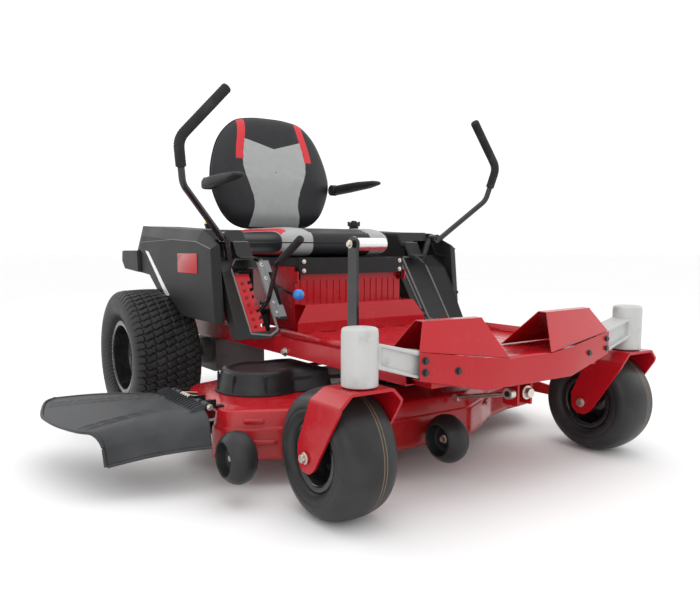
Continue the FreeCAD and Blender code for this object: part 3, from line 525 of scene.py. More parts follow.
red = red_paint("red_powder_coat")
red_low = red_paint("red_powder_coat_low", 0.6)
zinc = zinc_plate("zinc_plated")
straight = [(-91, 126), (-91, 136), (-91, 146), (-91, 168), (-91, 190), (-91, 240), (-91, 300)]
strip = rounded_line([(-91, 300), (-91, 312.5), (-61, 343), (61, 343), (91, 312.5), (91, 300)], 16)
strip = np.vstack([straight, strip, [(-x, z) for x, z in straight[::-1]]])
front_edge = [(126, -1212), (130, -1222), (146, -1238), (300, -1340), (318, -1346), (360, -1346)]
back_edge = [(126, -1184), (132, -1176), (146, -1163), (190, -1160), (330, -1226), (345, -1238),
             (360, -1240)]
fronts, backs = leg_edge(strip[:, 1], front_edge), leg_edge(strip[:, 1], back_edge)
share = np.linspace(0, 1, 7)
sheet = np.stack([np.repeat(strip[:, :1], 7, 1), fronts[:, None] + share * (backs - fronts)[:, None],
                  np.repeat(strip[:, 1:], 7, 1)], axis=2)
stem = turned([(347, 0.1), (347, 28), (351, 28), (351.5, 26), (351.5, 12.5), (480, 12.5), (480, 0.1)],
              (0, SWIVEL_Y, 0), 48, axis=2)
axle = merged([turned([(-100, 0.1), (-100, 9.5), (100, 9.5), (100, 0.1)], (0, WHEEL_Y, CAST_R), 24),
               hexagon_head((-95.5, WHEEL_Y, CAST_R), "-x", 12, 9, 15),
               hexagon_head((95.5, WHEEL_Y, CAST_R), "+x", 12, 9, 15)])
for side, sign in SIDES:
    middle = (sign * CAST_X, 0, 0)
    piece("fork_strip_" + side, moved(grid(sheet), middle), red, "caster_" + side,
          ["caster_fork_" + side], wall=8, edge=1.2)
    piece("fork_stem_" + side, moved(stem, middle), red, "caster_" + side)
    piece("caster_axle_" + side, moved(axle, middle), zinc, "caster_" + side)


# ---------------------------------------------------------------------------------------------
# Caster arms: sand cast aluminium left bare. A thick post is bored for the stem, and a webbed arm
# with a pocket in its face runs back to the rail. The post's ends are faced off.


def cast_metal(name, pale=0.5):
    """Sand cast aluminium: pale and matt, with grain, dimples and a few darker smears."""
    f = Finish(name)
    smear = f.band(f.noise(18, 5, 0.6), 0.5, 0.85)
    colour = f.blend(smear, (pale, pale, pale * 0.99), (pale * 0.72, pale * 0.72, pale * 0.7))
    grain = f.dents(f.noise(420, 3, 0.7), 0.0011, 0.6)
    return f.done(colour, 0.46 + 0.2 * f.noise(200), f.dents(f.noise(60, 3), 0.0015, 0.3, grain), 0.35)


casting = cast_metal("cast_aluminium")
for side, sign in SIDES:
    post_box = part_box("caster_arm_" + side)
post_low, post_high = post_box[0].z * 1000, post_box[1].z * 1000
post = turned([(post_low, 13), (post_low, 40), (post_low + 2, 44), (post_high - 14, 44),
               (post_high - 12, 43.4),
               (post_high - 5, 43), (post_high - 1.5, 40.5), (post_high, 36), (post_high, 13),
               (post_low, 13)],
              (-CAST_X, SWIVEL_Y, 0), 72, axis=2)
cap = turned([(post_high - 2, 12.9), (post_high - 0.5, 11), (post_high - 0.5, 0.1)],
             (-CAST_X, SWIVEL_Y, 0), 32, axis=2)


def framed_face(outline, inset, deep, y0, y1):
    """A flat bar seen from the front as an outline of (x, z), from y0 back to y1, whose front face has
    a pocket: the outline drawn in towards its middle by inset, and sunk by deep."""
    o = np.asarray(outline, float)
    centre = o.mean(axis=0)
    way = np.sign(centre - o)
    inner = o + way * inset
    rows = [(inner, y0 + deep), (inner + way * -1.5, y0 + 1.5), (inner - way * 3, y0), (o + way * 2, y0),
            (o, y0 + 2), (o, y1)]
    points = np.stack([np.stack([p[:, 0], np.full(len(p), y), p[:, 1]], 1) for p, y in rows])
    flat, faces = grid(points, close_columns=True)
    n = len(o)
    return flat, faces + [list(range(n)), list(range(5 * n, 6 * n))]


arm = framed_face([(-500, 386), (-500, 448), (-372, 418), (-330, 412), (-330, 347), (-372, 350)], 11, 9,
                  -1326, -1262)
for side, sign in SIDES:
    part = merged([post, cap, arm])
    piece("cast_arm_" + side, part if sign < 0 else mirrored(part), casting, "frame",
          ["caster_arm_" + side], edge=1.5, angle=40)


# ---------------------------------------------------------------------------------------------
# Nose: a front sheet folded in three facets with a lower lip, a step plate let into each wing, and a
# long blank panel in the middle. Foot rests of folded sheet stand on it, their slopes pierced.

NOSE_Y, WING_X, FLAT_X = -1355.0, 377.0, 172.0
SWEEP = 25 / (WING_X - FLAT_X)


def nose_y(x):
    """The front sheet's place: straight in the middle, then back by SWEEP for each millimetre out."""
    return NOSE_Y + np.maximum(0, np.abs(x) - FLAT_X) * SWEEP


def plate(outline, push):
    """A flat plate: an outline of (x, y, z) corners, and its copy pushed through the thickness."""
    o = np.asarray(outline, float)
    n = len(o)
    points, faces = grid(np.stack([o, o + np.asarray(push, float)]), close_columns=True)
    return points, faces + [list(range(n)), list(range(n, 2 * n))]


def patch(corners, across=2, along=2):
    """A sheet between four corners, each point the even mix of them."""
    a, b, c, d = [np.asarray(p, float) for p in corners]
    u, v = np.linspace(0, 1, across)[:, None, None], np.linspace(0, 1, along)[None, :, None]
    return grid((1 - u) * (1 - v) * a + u * (1 - v) * b + u * v * c + (1 - u) * v * d)


def front_point(x, z, out=0.0):
    """A point on the front sheet, or out millimetres in front of it."""
    return (x, nose_y(x) - out, z)


def low_z(x):
    """The sheet's lower edge, rising outwards over the wings."""
    return 305 + max(0.0, abs(x) - FLAT_X) * 43 / (WING_X - FLAT_X)


def high_z(x):
    """The sheet's upper edge: up over the wings, down a little in the middle."""
    return float(np.interp(abs(x), (0, 84, FLAT_X, WING_X), (377, 378, 389, 416)))


stations = [-377, -300, -240, -172, -84, 0, 84, 172, 240, 300, 377]
rows = [[(x, NOSE_Y + 32, low_z(x)) if abs(x) <= FLAT_X else (x, nose_y(x) + 26,
                                                              low_z(x)) for x in stations],
        [(x, nose_y(x) + 4, low_z(x) - 0.5) for x in stations], [(x, nose_y(x) + 0.6,
                                                                  low_z(x) + 1) for x in stations],
        [front_point(x, low_z(x) + 5) for x in stations], [front_point(x, high_z(x)) for x in stations]]
piece("nose_sheet", grid(np.array(rows, float)), red, "frame", ["front_bumper"], wall=-2.6,
      edge=0.8,
      angle=20)

panels = []
for sign in (-1, 1):
    outline = [(216, 337), (312, 357), (291, 394), (172, 385)] if sign < 0 else [(190, 333), (316, 358),
                                                                                 (296, 396), (214, 390)]
    outer = [front_point(sign * x, z, 2.2) for x, z in outline]
    panels.append(plate(outer, (0, 2.4, 0)))
piece("nose_step_plates", merged(panels), red, "frame", edge=0.7)

plain_white = Finish("plain_stripe")
plain_white = plain_white.done(plain_white.blend(plain_white.noise(80), (0.80, 0.80, 0.80),
                                                 (0.88, 0.88, 0.88)), 0.35)
dashes = []
for k in range(5):
    x = -118 + 60 * k
    dashes.append(plate([(x, NOSE_Y - 0.7, 334), (x + 46, NOSE_Y - 0.7, 334), (x + 54, NOSE_Y - 0.7, 350),
                         (x + 8, NOSE_Y - 0.7, 350)], (0, 0.5, 0)))
piece("nose_stripes", merged(dashes), plain_white, "frame")

black_steel = gloss_black("black_bolt_steel")
heads = []
for sign in (-1, 1):
    for x, z in ((361, 395), (361, 366), (262, 362)):
        heads.append(hexagon_head((sign * x, float(nose_y(x)) - 1.2, z), "-y", 7.5, 6, 11))
piece("nose_bolts", merged(heads), black_steel, "frame", ["frame_bolts"])
piece("link_nut", hexagon_head((51, -1300.5, 262), "-y", 15, 13, 20), zinc, "frame")

LOW_IN = np.array([84, -1354.0, 379])
TOP_IN, TOP_OUT = np.array([129, -1296.0, 484]), np.array([336, -1292.0, 486])
slope_normal = np.cross(TOP_IN - LOW_IN, TOP_OUT - LOW_IN)
LOW_OUT = np.array([376, 0, 417.0])
LOW_OUT[1] = LOW_IN[1] - (slope_normal[0] * (376 - LOW_IN[0])
                          + slope_normal[2] * (417 - LOW_IN[2])) / slope_normal[1]
BACK_IN, BACK_OUT = np.array([129, -1268.0, 485]), np.array([336, -1264.0, 487])
FOOT_IN, FOOT_OUT = np.array([96, -1160.0, 381]), np.array([350, -1160.0, 381])
across = np.linspace(0, 1, 9)[None, :, None]
front = np.stack([LOW_IN, TOP_IN - (0, 1.5, 4), TOP_IN, BACK_IN, BACK_IN + (-0.5, 3, -2), FOOT_IN])[:, None]
other = np.stack([LOW_OUT, TOP_OUT - (0, 1.5, 4), TOP_OUT, BACK_OUT, BACK_OUT + (0.5, 3, -2),
                  FOOT_OUT])[:, None]
rest = grid(front * (1 - across) + other * across)
studs = []
for k in range(5):
    for m in range(3):
        share_x, share_y = 0.1 + 0.2 * k, 0.16 + 0.28 * m
        base = ((BACK_IN * (1 - share_x) + BACK_OUT * share_x) * (1 - share_y)
                + (FOOT_IN * (1 - share_x) + FOOT_OUT * share_x) * share_y)
        out = np.array([0, 0.69, 0.72])
        side = np.array([1.0, 0, 0])
        up = np.cross(out, side)
        turn = np.linspace(0, 2 * np.pi, 16, endpoint=False)[:, None]
        rings = [base + out * h + r * (np.cos(turn) * side + np.sin(turn) * up)
                 for r, h in ((11, -0.5), (9, 2.6), (6.5, 3.4), (5.5, 2.4), (5, -2))]
        studs.append(grid(np.stack(rings), close_columns=True))
for side, sign in SIDES:
    piece("foot_rest_" + side, rest if sign > 0 else mirrored(rest), red, "frame",
          ["footrests"] if sign > 0 else (), wall=2.8, edge=0.8, angle=20)
    piece("foot_grips_" + side, merged(studs) if sign > 0 else mirrored(merged(studs)), red,
          "frame")


# ---------------------------------------------------------------------------------------------
# Floor pan: folded sheet with shallow pressed ribs and raised drain lips, on the rails.

FLOOR_TOP = 379.0


def floor_height(x, y):
    """The pressed floor: long shallow ribs, each a flattened hump across x and rounded at its ends."""
    height = np.zeros_like(x)
    for centre in (-210, -105, 0, 105, 210):
        across_rib = np.clip(1.5 - np.abs(x - centre) / 16, 0, 1)
        along_rib = np.clip((330 - np.abs(y + 820)) / 22, 0, 1)
        height += 3.2 * across_rib * along_rib
    return height


x, y = np.meshgrid(np.linspace(-353, 353, 120), np.linspace(-1256, -481, 100))
pressed = grid(np.stack([x, y, FLOOR_TOP - 1.5 + floor_height(x, y)], 2))
x, t = np.meshgrid(np.linspace(-309, 309, 41), np.linspace(0, 1, 3))
toe = grid(np.stack([x, (nose_y(x) + 3.2) * (1 - t) - 1256 * t, FLOOR_TOP - 1.5 + 0 * x], 2))
lips = [grid(np.array([[(s * 353, -1256, 377.5), (s * 353, -620, 377.5)],
                       [(s * 355.5, -1256, 379), (s * 355.5, -620, 379)],
                       [(s * 356, -1256, 400.5), (s * 356, -620, 400.5)]], float)) for s in (-1, 1)]
piece("pressed_floor", merged([pressed, toe] + lips), red, "frame", ["floor_pan"], wall=2.4,
      angle=30)


# ---------------------------------------------------------------------------------------------
# Main frame: welded box rails and cross members. Their CAD shape is right, so they keep it under the
# same powder coat, with grime low down. Small parts below take their own finishes.



def coated(name, finish):
    """Gives a CAD node a finish in place of its own."""
    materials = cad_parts[name].data.materials
    materials.clear()
    materials.append(finish)


coated("main_frame", red_low)


def satin_black(name, rough=0.42, grain=240.0):
    """Satin black coat on steel: fine texture, greyer where it has been rubbed."""
    f = Finish(name)
    rub = f.band(f.noise(16, 6, 0.6), 0.5, 0.85)
    return f.done(f.blend(rub, (0.008, 0.008, 0.0085), (0.022, 0.022, 0.023)), rough + 0.15 * rub,
                  f.dents(f.noise(grain, 3), 0.0005, 0.35))


satin = satin_black("satin_black_steel")
grime_metal = cast_metal("drive_castings", 0.2)
for name, finish in (("control_mounts", satin), ("hydro_drives", grime_metal), ("deck_link", zinc),
                     ("rear_guard", satin), ("muffler", zinc_plate("silencer_steel", 0.2))):
    coated(name, finish)

bracket_bolts = [hexagon_head((-361, -657, 330), "-x", 11, 9, 15),
                 hexagon_head((361, -657, 330), "+x", 11, 9, 15)]
piece("rail_bolts", merged(bracket_bolts), zinc, "frame")


# ---------------------------------------------------------------------------------------------
# Cutting deck: 54 inch stamped shell. The skirt has a crease two thirds of the way up and leans in
# above it; the top rolls over a radius. The right side is open to the discharge chute.

DECK_PLAN = [(-690, -560), (-690, -868), (-537, -946), (-302, -1062), (70, -1062), (190, -1000), (300, -935),
             (430, -893), (580, -872), (680, -770), (704, -640), (680, -500), (590, -425), (451, -392),
             (-451, -392), (-600, -440)]
SKIRT = [(80, 0.0), (83, 0.8), (96, 0.8), (98, 0), (160, 0), (166, -1.2), (170, -3), (172, -5), (207, -13),
         (213, -16), (216.5, -21), (218, -27)]
deck_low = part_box("deck_shell")[0].z * 1000


def closed_line(corners, radius, spacing=14.0):
    """A closed outline with arcs at its corners, spaced evenly, and the outward normal at each point."""
    c = np.asarray(corners, float)
    line = rounded_line(np.vstack([(c[-1] + c[0]) / 2, c, (c[-1] + c[0]) / 2]), radius, 8)
    along = np.concatenate([[0], np.cumsum(np.linalg.norm(np.diff(line, axis=0), axis=1))])
    even = np.linspace(0, along[-1], int(along[-1] / spacing), endpoint=False)
    out = np.stack([np.interp(even, along, line[:, k]) for k in range(2)], axis=1)
    run = np.roll(out, -1, axis=0) - np.roll(out, 1, axis=0)
    normal = np.stack([run[:, 1], -run[:, 0]], axis=1) / np.linalg.norm(run, axis=1)[:, None]
    outward = np.sign(((out - out.mean(axis=0)) * normal).sum())
    return out, normal * outward


def skirted(outline, normal, profile):
    """A wall whose rows follow an outline: each (height, offset) moves it along its normals."""
    return np.stack([np.column_stack([outline + normal * offset, np.full(len(outline), z)]) for z,
                     offset in profile])


plan, plan_normal = closed_line(DECK_PLAN, 90, 12)
wall = skirted(plan, plan_normal, [(z - 80 + deck_low if z < 81 else z, offset) for z, offset in SKIRT])
points, faces = grid(wall, close_columns=True)
middles = points[np.array(faces)].mean(axis=1)
opening = (middles[:, 0] < -640) & (middles[:, 1] > -815) & (middles[:, 1] < -605) & (middles[:, 2] < 206)
faces = [face for face, cut in zip(faces, opening) if not cut]
last = len(points) - len(plan)
faces.append(list(range(last, len(points))))
piece("deck_stamping", (points, faces), red_low, "deck", ["deck_shell"], wall=3.6, angle=22)

housings = []
for name in ("right", "centre", "left"):
    low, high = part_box("spindle_" + name)
    x, y = ((low.x + high.x) / 2 - ORIGIN[0]) * 1000, ((low.y + high.y) / 2 - ORIGIN[1]) * 1000
    housings.append(turned([(219, 14.2), (188, 14.2), (188, 56), (217, 58), (218.5, 92), (223, 92),
                            (224.5, 88), (226, 64),
                            (236, 58), (240, 54), (240, 14.2), (219, 14.2)], (x, y, 0), 64, axis=2))
    for k in range(6):
        a = math.radians(60 * k + 15)
        housings.append(turned([(224, 0.1), (224, 7), (229, 6.6), (230, 0.1)],
                               (x + 78 * math.cos(a), y + 78 * math.sin(a), 0),
                               6, axis=2))
piece("spindle_housings", merged(housings), satin, "deck")

rollers = {}
for name in ("right", "centre", "left"):
    low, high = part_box("roller_" + name)
    rollers[name] = [((low[k] + high[k]) / 2 - ORIGIN[k]) * 1000 for k in range(3)]
    rollers[name][0] += {"right": 1, "centre": 1, "left": -1}[name]
hangers = []
for name, sign in (("right", 1), ("left", -1), ("centre", 1)):
    x, y, z = rollers[name]
    back = -1050 if name == "centre" else -800
    inner = x + sign * 46
    bend = [(inner - 4, y - 15, z - 12), (inner - 4, back, 110), (inner - 4, back, 158),
            (inner - 4, y - 15, z + 14)]
    hangers.append(plate(bend, (8, 0, 0)))
    hangers.append(turned([(-4, 0.1), (-4, 17), (4, 17), (4, 0.1)], (inner, y, z), 32))
    reach = sorted((-sign * 14, sign * 46))
    hangers.append(turned([(reach[0], 0.1), (reach[0], 6), (reach[1], 6), (reach[1], 0.1)], (x, y, z), 20))
piece("roller_hangers", merged(hangers), red_low, "deck", edge=0.8)

emboss = []
for x, y, z, length in ((-430, -1000, 190, 70), (-610, -908, 190, 60), (-590, -918, 130, 90),
                        (250, -968, 150, 90)):
    t = np.linspace(0, np.pi, 9)[:, None]
    run = np.linspace(-0.5, 0.5, 12)[None, :]
    taper = np.sqrt(np.clip(1 - (2 * run) ** 8, 0, 1))
    slope = 0.5 if x < 0 else -0.53
    emboss.append(grid(np.stack([x + run * length * 0.9 + 0 * t,
                                 y - 3 - 5 * np.sin(t) * taper - run * length * slope,
                                 z + 8 * np.cos(t) * taper], axis=2)))
piece("deck_embossing", merged(emboss), red_low, "deck")


# ---------------------------------------------------------------------------------------------
# Anti-scalp rollers: turned from black nylon, nearly ball shaped, with a deep cup on the outer face
# round a gold zinc bolt.


def smooth_plastic(name, base=(0.013, 0.013, 0.014), rough=0.36, grain=500.0, depth=0.0003):
    """Moulded black plastic: a faint grain and finger-wide clouds in the gloss."""
    f = Finish(name)
    cloud = f.band(f.noise(7, 4), 0.3, 0.75)
    paler = tuple(c * 1.9 + 0.004 for c in base)
    return f.done(f.blend(cloud, base, paler), rough + 0.12 * cloud,
                  f.dents(f.noise(grain, 3, 0.6), depth, 0.4))


nylon = smooth_plastic("roller_nylon", rough=0.34)
ball = smoothed([(38, 7.2), (39, 20), (38, 40), (32, 55), (18, 66), (0, 70), (-16, 67.5), (-30, 59),
                 (-38, 51), (-41, 47),
                 (-40.5, 44.5), (-37, 43.5), (-14, 39), (-10, 34), (-9, 24), (-13, 20), (-13, 7.2)], 90)
for name, (x, y, z) in rollers.items():
    shell = turned(np.vstack([ball, [(38, 7.2)]]), (0, 0, 0), 88)
    bolt = hexagon_head((-13.2, 0, 0), "-x", 9, 8, 12)
    if name == "left":
        shell, bolt = mirrored(shell), mirrored(bolt)
    piece("nylon_roller_" + name, moved(shell, (x, y, z)), nylon, "roller_" + name,
          ["roller_" + name], angle=50)
    piece("roller_bolt_" + name, moved(bolt, (x, y, z)), zinc, "deck")


# ---------------------------------------------------------------------------------------------
# Belt covers: black moulded housings over the outer pulleys, round outside and running inwards over
# the belt, with a foot flange, a rolled top edge and a stiffening step.

belt_black = smooth_plastic("cover_plastic", rough=0.3, grain=700)
cover_low = 219.0
cover_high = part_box("belt_covers")[1].z * 1000
spindle_low, spindle_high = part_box("spindle_right")
cx = ((spindle_low.x + spindle_high.x) / 2 - ORIGIN[0]) * 1000
cy = ((spindle_low.y + spindle_high.y) / 2 - ORIGIN[1]) * 1000
arc = np.radians(np.linspace(60, 300, 60))
nose = np.column_stack([cx + 126 * np.cos(arc), cy + 126 * np.sin(arc)])
outline = np.vstack([nose, [(cx + 150, cy - 150), (cx + 185, cy - 150), (cx + 185, cy + 96),
                            (cx + 120, cy + 112)]])
cover_plan, cover_normal = closed_line(outline, 30, 9)
rows = [(cover_low, 11), (cover_low + 2.5, 11.5), (cover_low + 4, 6), (cover_low + 9, 4),
        (cover_low + 34, 0), (cover_low + 37, -2.5),
        (cover_high - 14, -6), (cover_high - 6, -9), (cover_high - 1.5, -15), (cover_high, -24),
        (cover_high - 1, -34), (cover_high - 5, -40), (cover_high - 5.5, -60)]
points, faces = grid(skirted(cover_plan, cover_normal, rows), close_columns=True)
faces.append(list(range(len(points) - len(cover_plan), len(points))))
ribs = [turned([(0, 5), (cover_high - cover_low - 14, 4), (cover_high - cover_low - 10, 0.1)],
               (cx + 126 * math.cos(a), cy + 126 * math.sin(a),
                cover_low + 2), 12, axis=2) for a in np.radians((205, 252, 160))]
cover = merged([(points, faces)] + ribs)
for side, sign in SIDES:
    piece("belt_cover_" + side, cover if sign < 0 else mirrored(cover), belt_black, "deck",
          ["belt_covers"] if sign < 0 else (), angle=40)


# ---------------------------------------------------------------------------------------------
# Discharge chute: flexible black moulding hung on a sprung rod. Its roof fans out from the hinge and
# rolls over a wide radius into the front skirt; two pairs of ribs radiate over it and a bead ends it.

CHUTE_X = -724.0
CHUTE_TOP, CHUTE_FALL = 226.0, 0.19
outer_line = smoothed([(-984, -238), (-1020, -262), (-1056, -390), (-1058, -470), (-1046, -570),
                       (-1016, -690), (-992, -752)], 90)
v = np.linspace(0, 1, 90)
hinge_line = np.column_stack([np.full(90, CHUTE_X), -552 - 300 * v])
hinge_line[:, 0] -= 36 * np.clip(1 - v / 0.25, 0, 1) ** 2


def chute_roof(x, u):
    """The roof falls away from the hinge and crowns a little between hinge and bead."""
    return CHUTE_TOP + (x - CHUTE_X + 8) * CHUTE_FALL + 7 * np.sin(np.pi * u)


def chute_surface(u, lift=0.0):
    """The roof between hinge line and outer line, then the rolled skirt: a quarter turn of 62 by 55
    whose start is set in from the edge, and a straight drop to the lower edge."""
    u = u[:, None, None]
    flat = (1 - u) * hinge_line[None] + u * outer_line[None]
    height = chute_roof(flat[..., 0], u[..., 0])
    roof_rows = np.concatenate([flat, height[..., None] + lift], axis=2)
    edge, before = flat[:, -1], flat[:, -6]
    out = (edge - before) / np.linalg.norm(edge - before, axis=1)[:, None]
    roll = np.radians(np.linspace(0, 84, 16))[1:]
    reach, drop = 58 * np.sin(roll), 52 * (1 - np.cos(roll))
    skirt = []
    depth = 96 - 14 * u[:, 0, 0]
    sags = np.concatenate([drop, np.linspace(drop[-1], 96, 8)[1:]])
    reaches = np.concatenate([reach, reach[-1] + np.linspace(0, 7, 8)[1:]])
    for r, s in zip(reaches, sags):
        line = edge + out * (r - 30)
        skirt.append(np.column_stack([line, height[:, -1] - s * depth / 96 + lift]))
    skirt = np.stack(skirt, axis=1)
    roof_rows[:, :, :2] += (out * -30)[:, None] * np.clip((v - 0.7) / 0.3, 0, 1)[None, :, None]
    return np.concatenate([roof_rows, skirt], axis=1)


u = np.linspace(0, 1, 72)
sheet = chute_surface(u)
ridge = np.zeros(sheet.shape[:2])
columns = np.arange(sheet.shape[1])
for start, end in ((22, 9), (30, 15), (66, 74), (73, 81)):
    centre = (start + (end - start) * u)[:, None]
    ridge += np.clip(1.25 - np.abs(columns[None] - centre) / 0.9, 0, 1)
ridge *= np.clip((u[:, None] - 0.06) / 0.05, 0, 1) * np.clip((0.985 - u[:, None]) / 0.03, 0, 1)
sheet[..., 2] += 3.4 * ridge


def tube(path, radius, sides=10):
    """A round bar along a path: at each point a circle across the run. radius may vary along it."""
    p = np.asarray(path, float)
    run = np.gradient(p, axis=0)
    run /= np.linalg.norm(run, axis=1)[:, None]
    up = np.where(np.abs(run[:, 2:]) > 0.95, [[0.0, 1.0, 0.0]], [[0.0, 0.0, 1.0]])
    side = np.cross(run, up)
    side /= np.linalg.norm(side, axis=1)[:, None]
    other = np.cross(side, run)
    a = np.linspace(0, 2 * np.pi, sides, endpoint=False)[None, :, None]
    r = np.broadcast_to(np.asarray(radius, float), (len(p),))[:, None, None]
    rings = p[:, None] + r * (np.cos(a) * side[:, None] + np.sin(a) * other[:, None])
    points, faces = grid(rings, close_columns=True)
    return points, faces + [list(range(sides)), list(range(len(points) - sides, len(points)))]


chute_black = smooth_plastic("chute_plastic", (0.028, 0.029, 0.031), 0.46, 380, 0.0005)
bead = tube(sheet[-1], 5.2)
hem = tube(sheet[::2, -1], 4.6)
back_hem = tube(sheet[::2, 0], 3.4)
hx, hz = CHUTE_X + 12, (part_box("chute_hinge")[0].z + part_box("chute_hinge")[1].z) * 500
hz = 232.0
knuckles = []
for y0, y1 in ((-838, -806), (-646, -616), (-786, -768), (-602, -590)):
    knuckles.append(turned([(y0, 5.2), (y0, 10.5), (y1, 10.5), (y1, 5.2), (y0, 5.2)], (hx, 0, hz), 24,
                           axis=1))
    knuckles.append(plate([(hx - 40, y0, hz - 14), (hx - 40, y1, hz - 14), (hx - 2, y1, hz - 4),
                           (hx - 2, y0, hz - 4)], (0, 0, 5)))
fins = [plate([(CHUTE_X - 42, y, 222), (CHUTE_X + 6, y, 224), (CHUTE_X + 4, y, 240),
               (CHUTE_X - 22, y, 234)], (0, 3, 0))
        for y in range(-832, -560, 18)]
piece("chute_moulding", merged([grid(sheet)]), chute_black, "chute", ["chute"], wall=4,
      angle=50)
piece("chute_bead", merged([bead, hem, back_hem]), chute_black, "chute", angle=50)
piece("chute_knuckles", merged(knuckles + fins), chute_black, "chute", edge=0.5)

turn = np.linspace(0, 2 * np.pi * 9, 9 * 16)
coil = np.column_stack([hx + 8.5 * np.cos(turn), -712 + turn / (2 * np.pi) * 6.6, hz + 8.5 * np.sin(turn)])
ends = [np.column_stack([np.linspace(hx, hx + 46, 12), np.full(12, y),
                         np.linspace(hz + 8.5, hz + 1, 12)]) for y in (-712, -653)]
brass_zinc = zinc_plate("gold_zinc", 1.0)
piece("chute_spring", merged([tube(coil, 1.7, 8)] + [tube(e, 1.7, 8) for e in ends]), brass_zinc,
      "deck")
piece("hinge_nuts", merged([hexagon_head((hx, -850, hz), "-y", 7, 7, 9),
                            hexagon_head((hx, -588, hz), "+y", 7, 7, 9)]),
      brass_zinc, "deck")
for name, finish in (("chute_hinge", satin), ("deck_belt", smooth_plastic("belt_rubber", rough=0.7)),
                     ("spindle_right", satin), ("spindle_centre", satin), ("spindle_left", satin)):
    coated(name, finish)


# ---------------------------------------------------------------------------------------------
# Side pods: moulded covers over the drive tyres, charcoal, with a fine leather-like texture. Each is
# an outer panel with bevelled belt and lip lines, a stepped hood towards the seat, a tail block, a
# bright strip up its rear edge and a blank red plate.

POD_X0, POD_X1, POD_X2 = 352.0, 513.0, 545.0


def textured_plastic(name, base=(0.010, 0.0098, 0.0096), rough=0.46):
    """Moulded charcoal plastic: a fine pebbled texture, scuffed paler on wide patches."""
    f = Finish(name)
    cells = f.node("TexVoronoi", {"feature": "F1"}, {"Vector": f.place(), "Scale": 900.0})
    cloud = f.band(f.noise(5, 4), 0.3, 0.8)
    paler = tuple(c * 1.5 for c in base)
    grain = f.dents(cells, 0.0005, 0.35)
    return f.done(f.blend(cloud, base, paler), rough + 0.1 * cloud,
                  f.dents(f.noise(2400, 2), 0.0002, 0.3, grain))


pod_plastic = textured_plastic("pod_plastic")
# Pale grey that paints highlights along the pods' and consoles' edges.
lit_edge = textured_plastic("pod_edge_painted_highlight", (0.13, 0.128, 0.125), 0.4)


def lofted(sections):
    """Outlines of equal length, one after another, as the rings of a shape, with flat ends."""
    rings = np.array(sections, float)
    n = rings.shape[1]
    points, faces = grid(rings, close_columns=True)
    return points, faces + [list(range(n)), list(range(len(points) - n, len(points)))]


def outline_at(corners, x, toward=None, inset=0.0):
    """An outline of (y, z) in the plane x, drawn in by inset towards its middle or towards a point."""
    c = np.asarray(corners, float)
    middle = np.asarray(toward if toward is not None else c.mean(axis=0), float)
    away = middle - c
    c = c + away / np.linalg.norm(away, axis=1)[:, None] * inset
    return np.column_stack([np.full(len(c), x), c])


outer_panel = [(-528, 420), (-520, 487), (-500, 676), (-380, 725), (-165, 735), (220, 755), (262, 702),
               (300, 655), (222, 655), (100, 641), (-2, 560), (-110, 487), (-240, 417)]
belt = [(-522, 421), (-516, 485), (-497, 664), (-378, 688), (-165, 696), (165, 716), (190, 690),
        (205, 660), (190, 652), (112, 632), (-2, 551), (-116, 483), (-240, 423)]
body = lofted([outline_at(outer_panel, -POD_X1), outline_at(outer_panel, -(POD_X1 + 9)),
               outline_at(belt, -(POD_X2 - 3), inset=0.5), outline_at(belt, -POD_X2, inset=3)])
lower_lip = [(-521, 478), (-519, 489), (-112, 491), (-104, 480)]
lip_rib = lofted([outline_at(lower_lip, -(POD_X2 - 3)), outline_at(lower_lip, -(POD_X2 + 1.5), inset=2.5)])
tail_block = [(216, 566), (222, 655), (425, 654), (430, 610), (395, 575)]
tail = lofted([outline_at(tail_block, -(POD_X1 - 4)), outline_at(tail_block, -(POD_X2 - 8)),
               outline_at(tail_block, -(POD_X2 + 4), inset=4)])
rear_quarter = [(117, 557), (-2, 480), (-118, 487), (98, 641), (222, 655), (425, 654), (395, 575)]
quarter = lofted([outline_at(rear_quarter, -POD_X1), outline_at(rear_quarter, -(POD_X2 - 14)),
                  outline_at(rear_quarter, -(POD_X2 - 10), inset=5)])
hood_line = [(-470, 632), (-432, 641), (-426, 650), (-404, 686), (-382, 689), (-376, 694), (-353, 727),
             (-165, 735),
             (216, 754)]
hood_top = np.array(hood_line, float)


hood = grid(np.stack([np.column_stack([np.full(9, x), hood_top[:, 0], hood_top[:, 1] - d])
                      for x, d in ((-POD_X1, 2), (-508, 0), (-496, 0), (-458, 0), (-420, 0), (-366, 0),
                                   (-357, 3), (-352, 16))]))
points, faces = hood
middles = points[np.array(faces)].mean(axis=1)
slot = (middles[:, 0] > -496) & (middles[:, 0] < -420) & (middles[:, 1] < -378)
hood = (points, [face for face, cut in zip(faces, slot) if not cut])
cheek = plate([(-POD_X0, -400, 600), (-POD_X0, -400, 664), (-POD_X0, -378, 670), (-POD_X0, -350, 709),
               (-POD_X0, -165, 719),
               (-POD_X0, 216, 737), (-POD_X0, 216, 600)], (-3, 0, 0))
back = plate([(-POD_X1, 218, 600), (-POD_X1, 218, 750), (-POD_X0 - 8, 218, 750), (-POD_X0, 218, 734),
              (-POD_X0, 218, 600)], (0, 3, 0))
for side, sign in SIDES:
    parts = [body, lip_rib, tail, quarter]
    mirror = (lambda part: part) if sign < 0 else mirrored
    piece("pod_shell_" + side, mirror(merged(parts)), pod_plastic, "frame",
          ["fender_" + side],
          edge=2.2, angle=12)
    piece("pod_hood_" + side, mirror(hood), pod_plastic, "frame", wall=3, edge=1.0, angle=15)
    piece("pod_cheek_" + side, mirror(merged([cheek, back])), pod_plastic, "frame", edge=0.8)



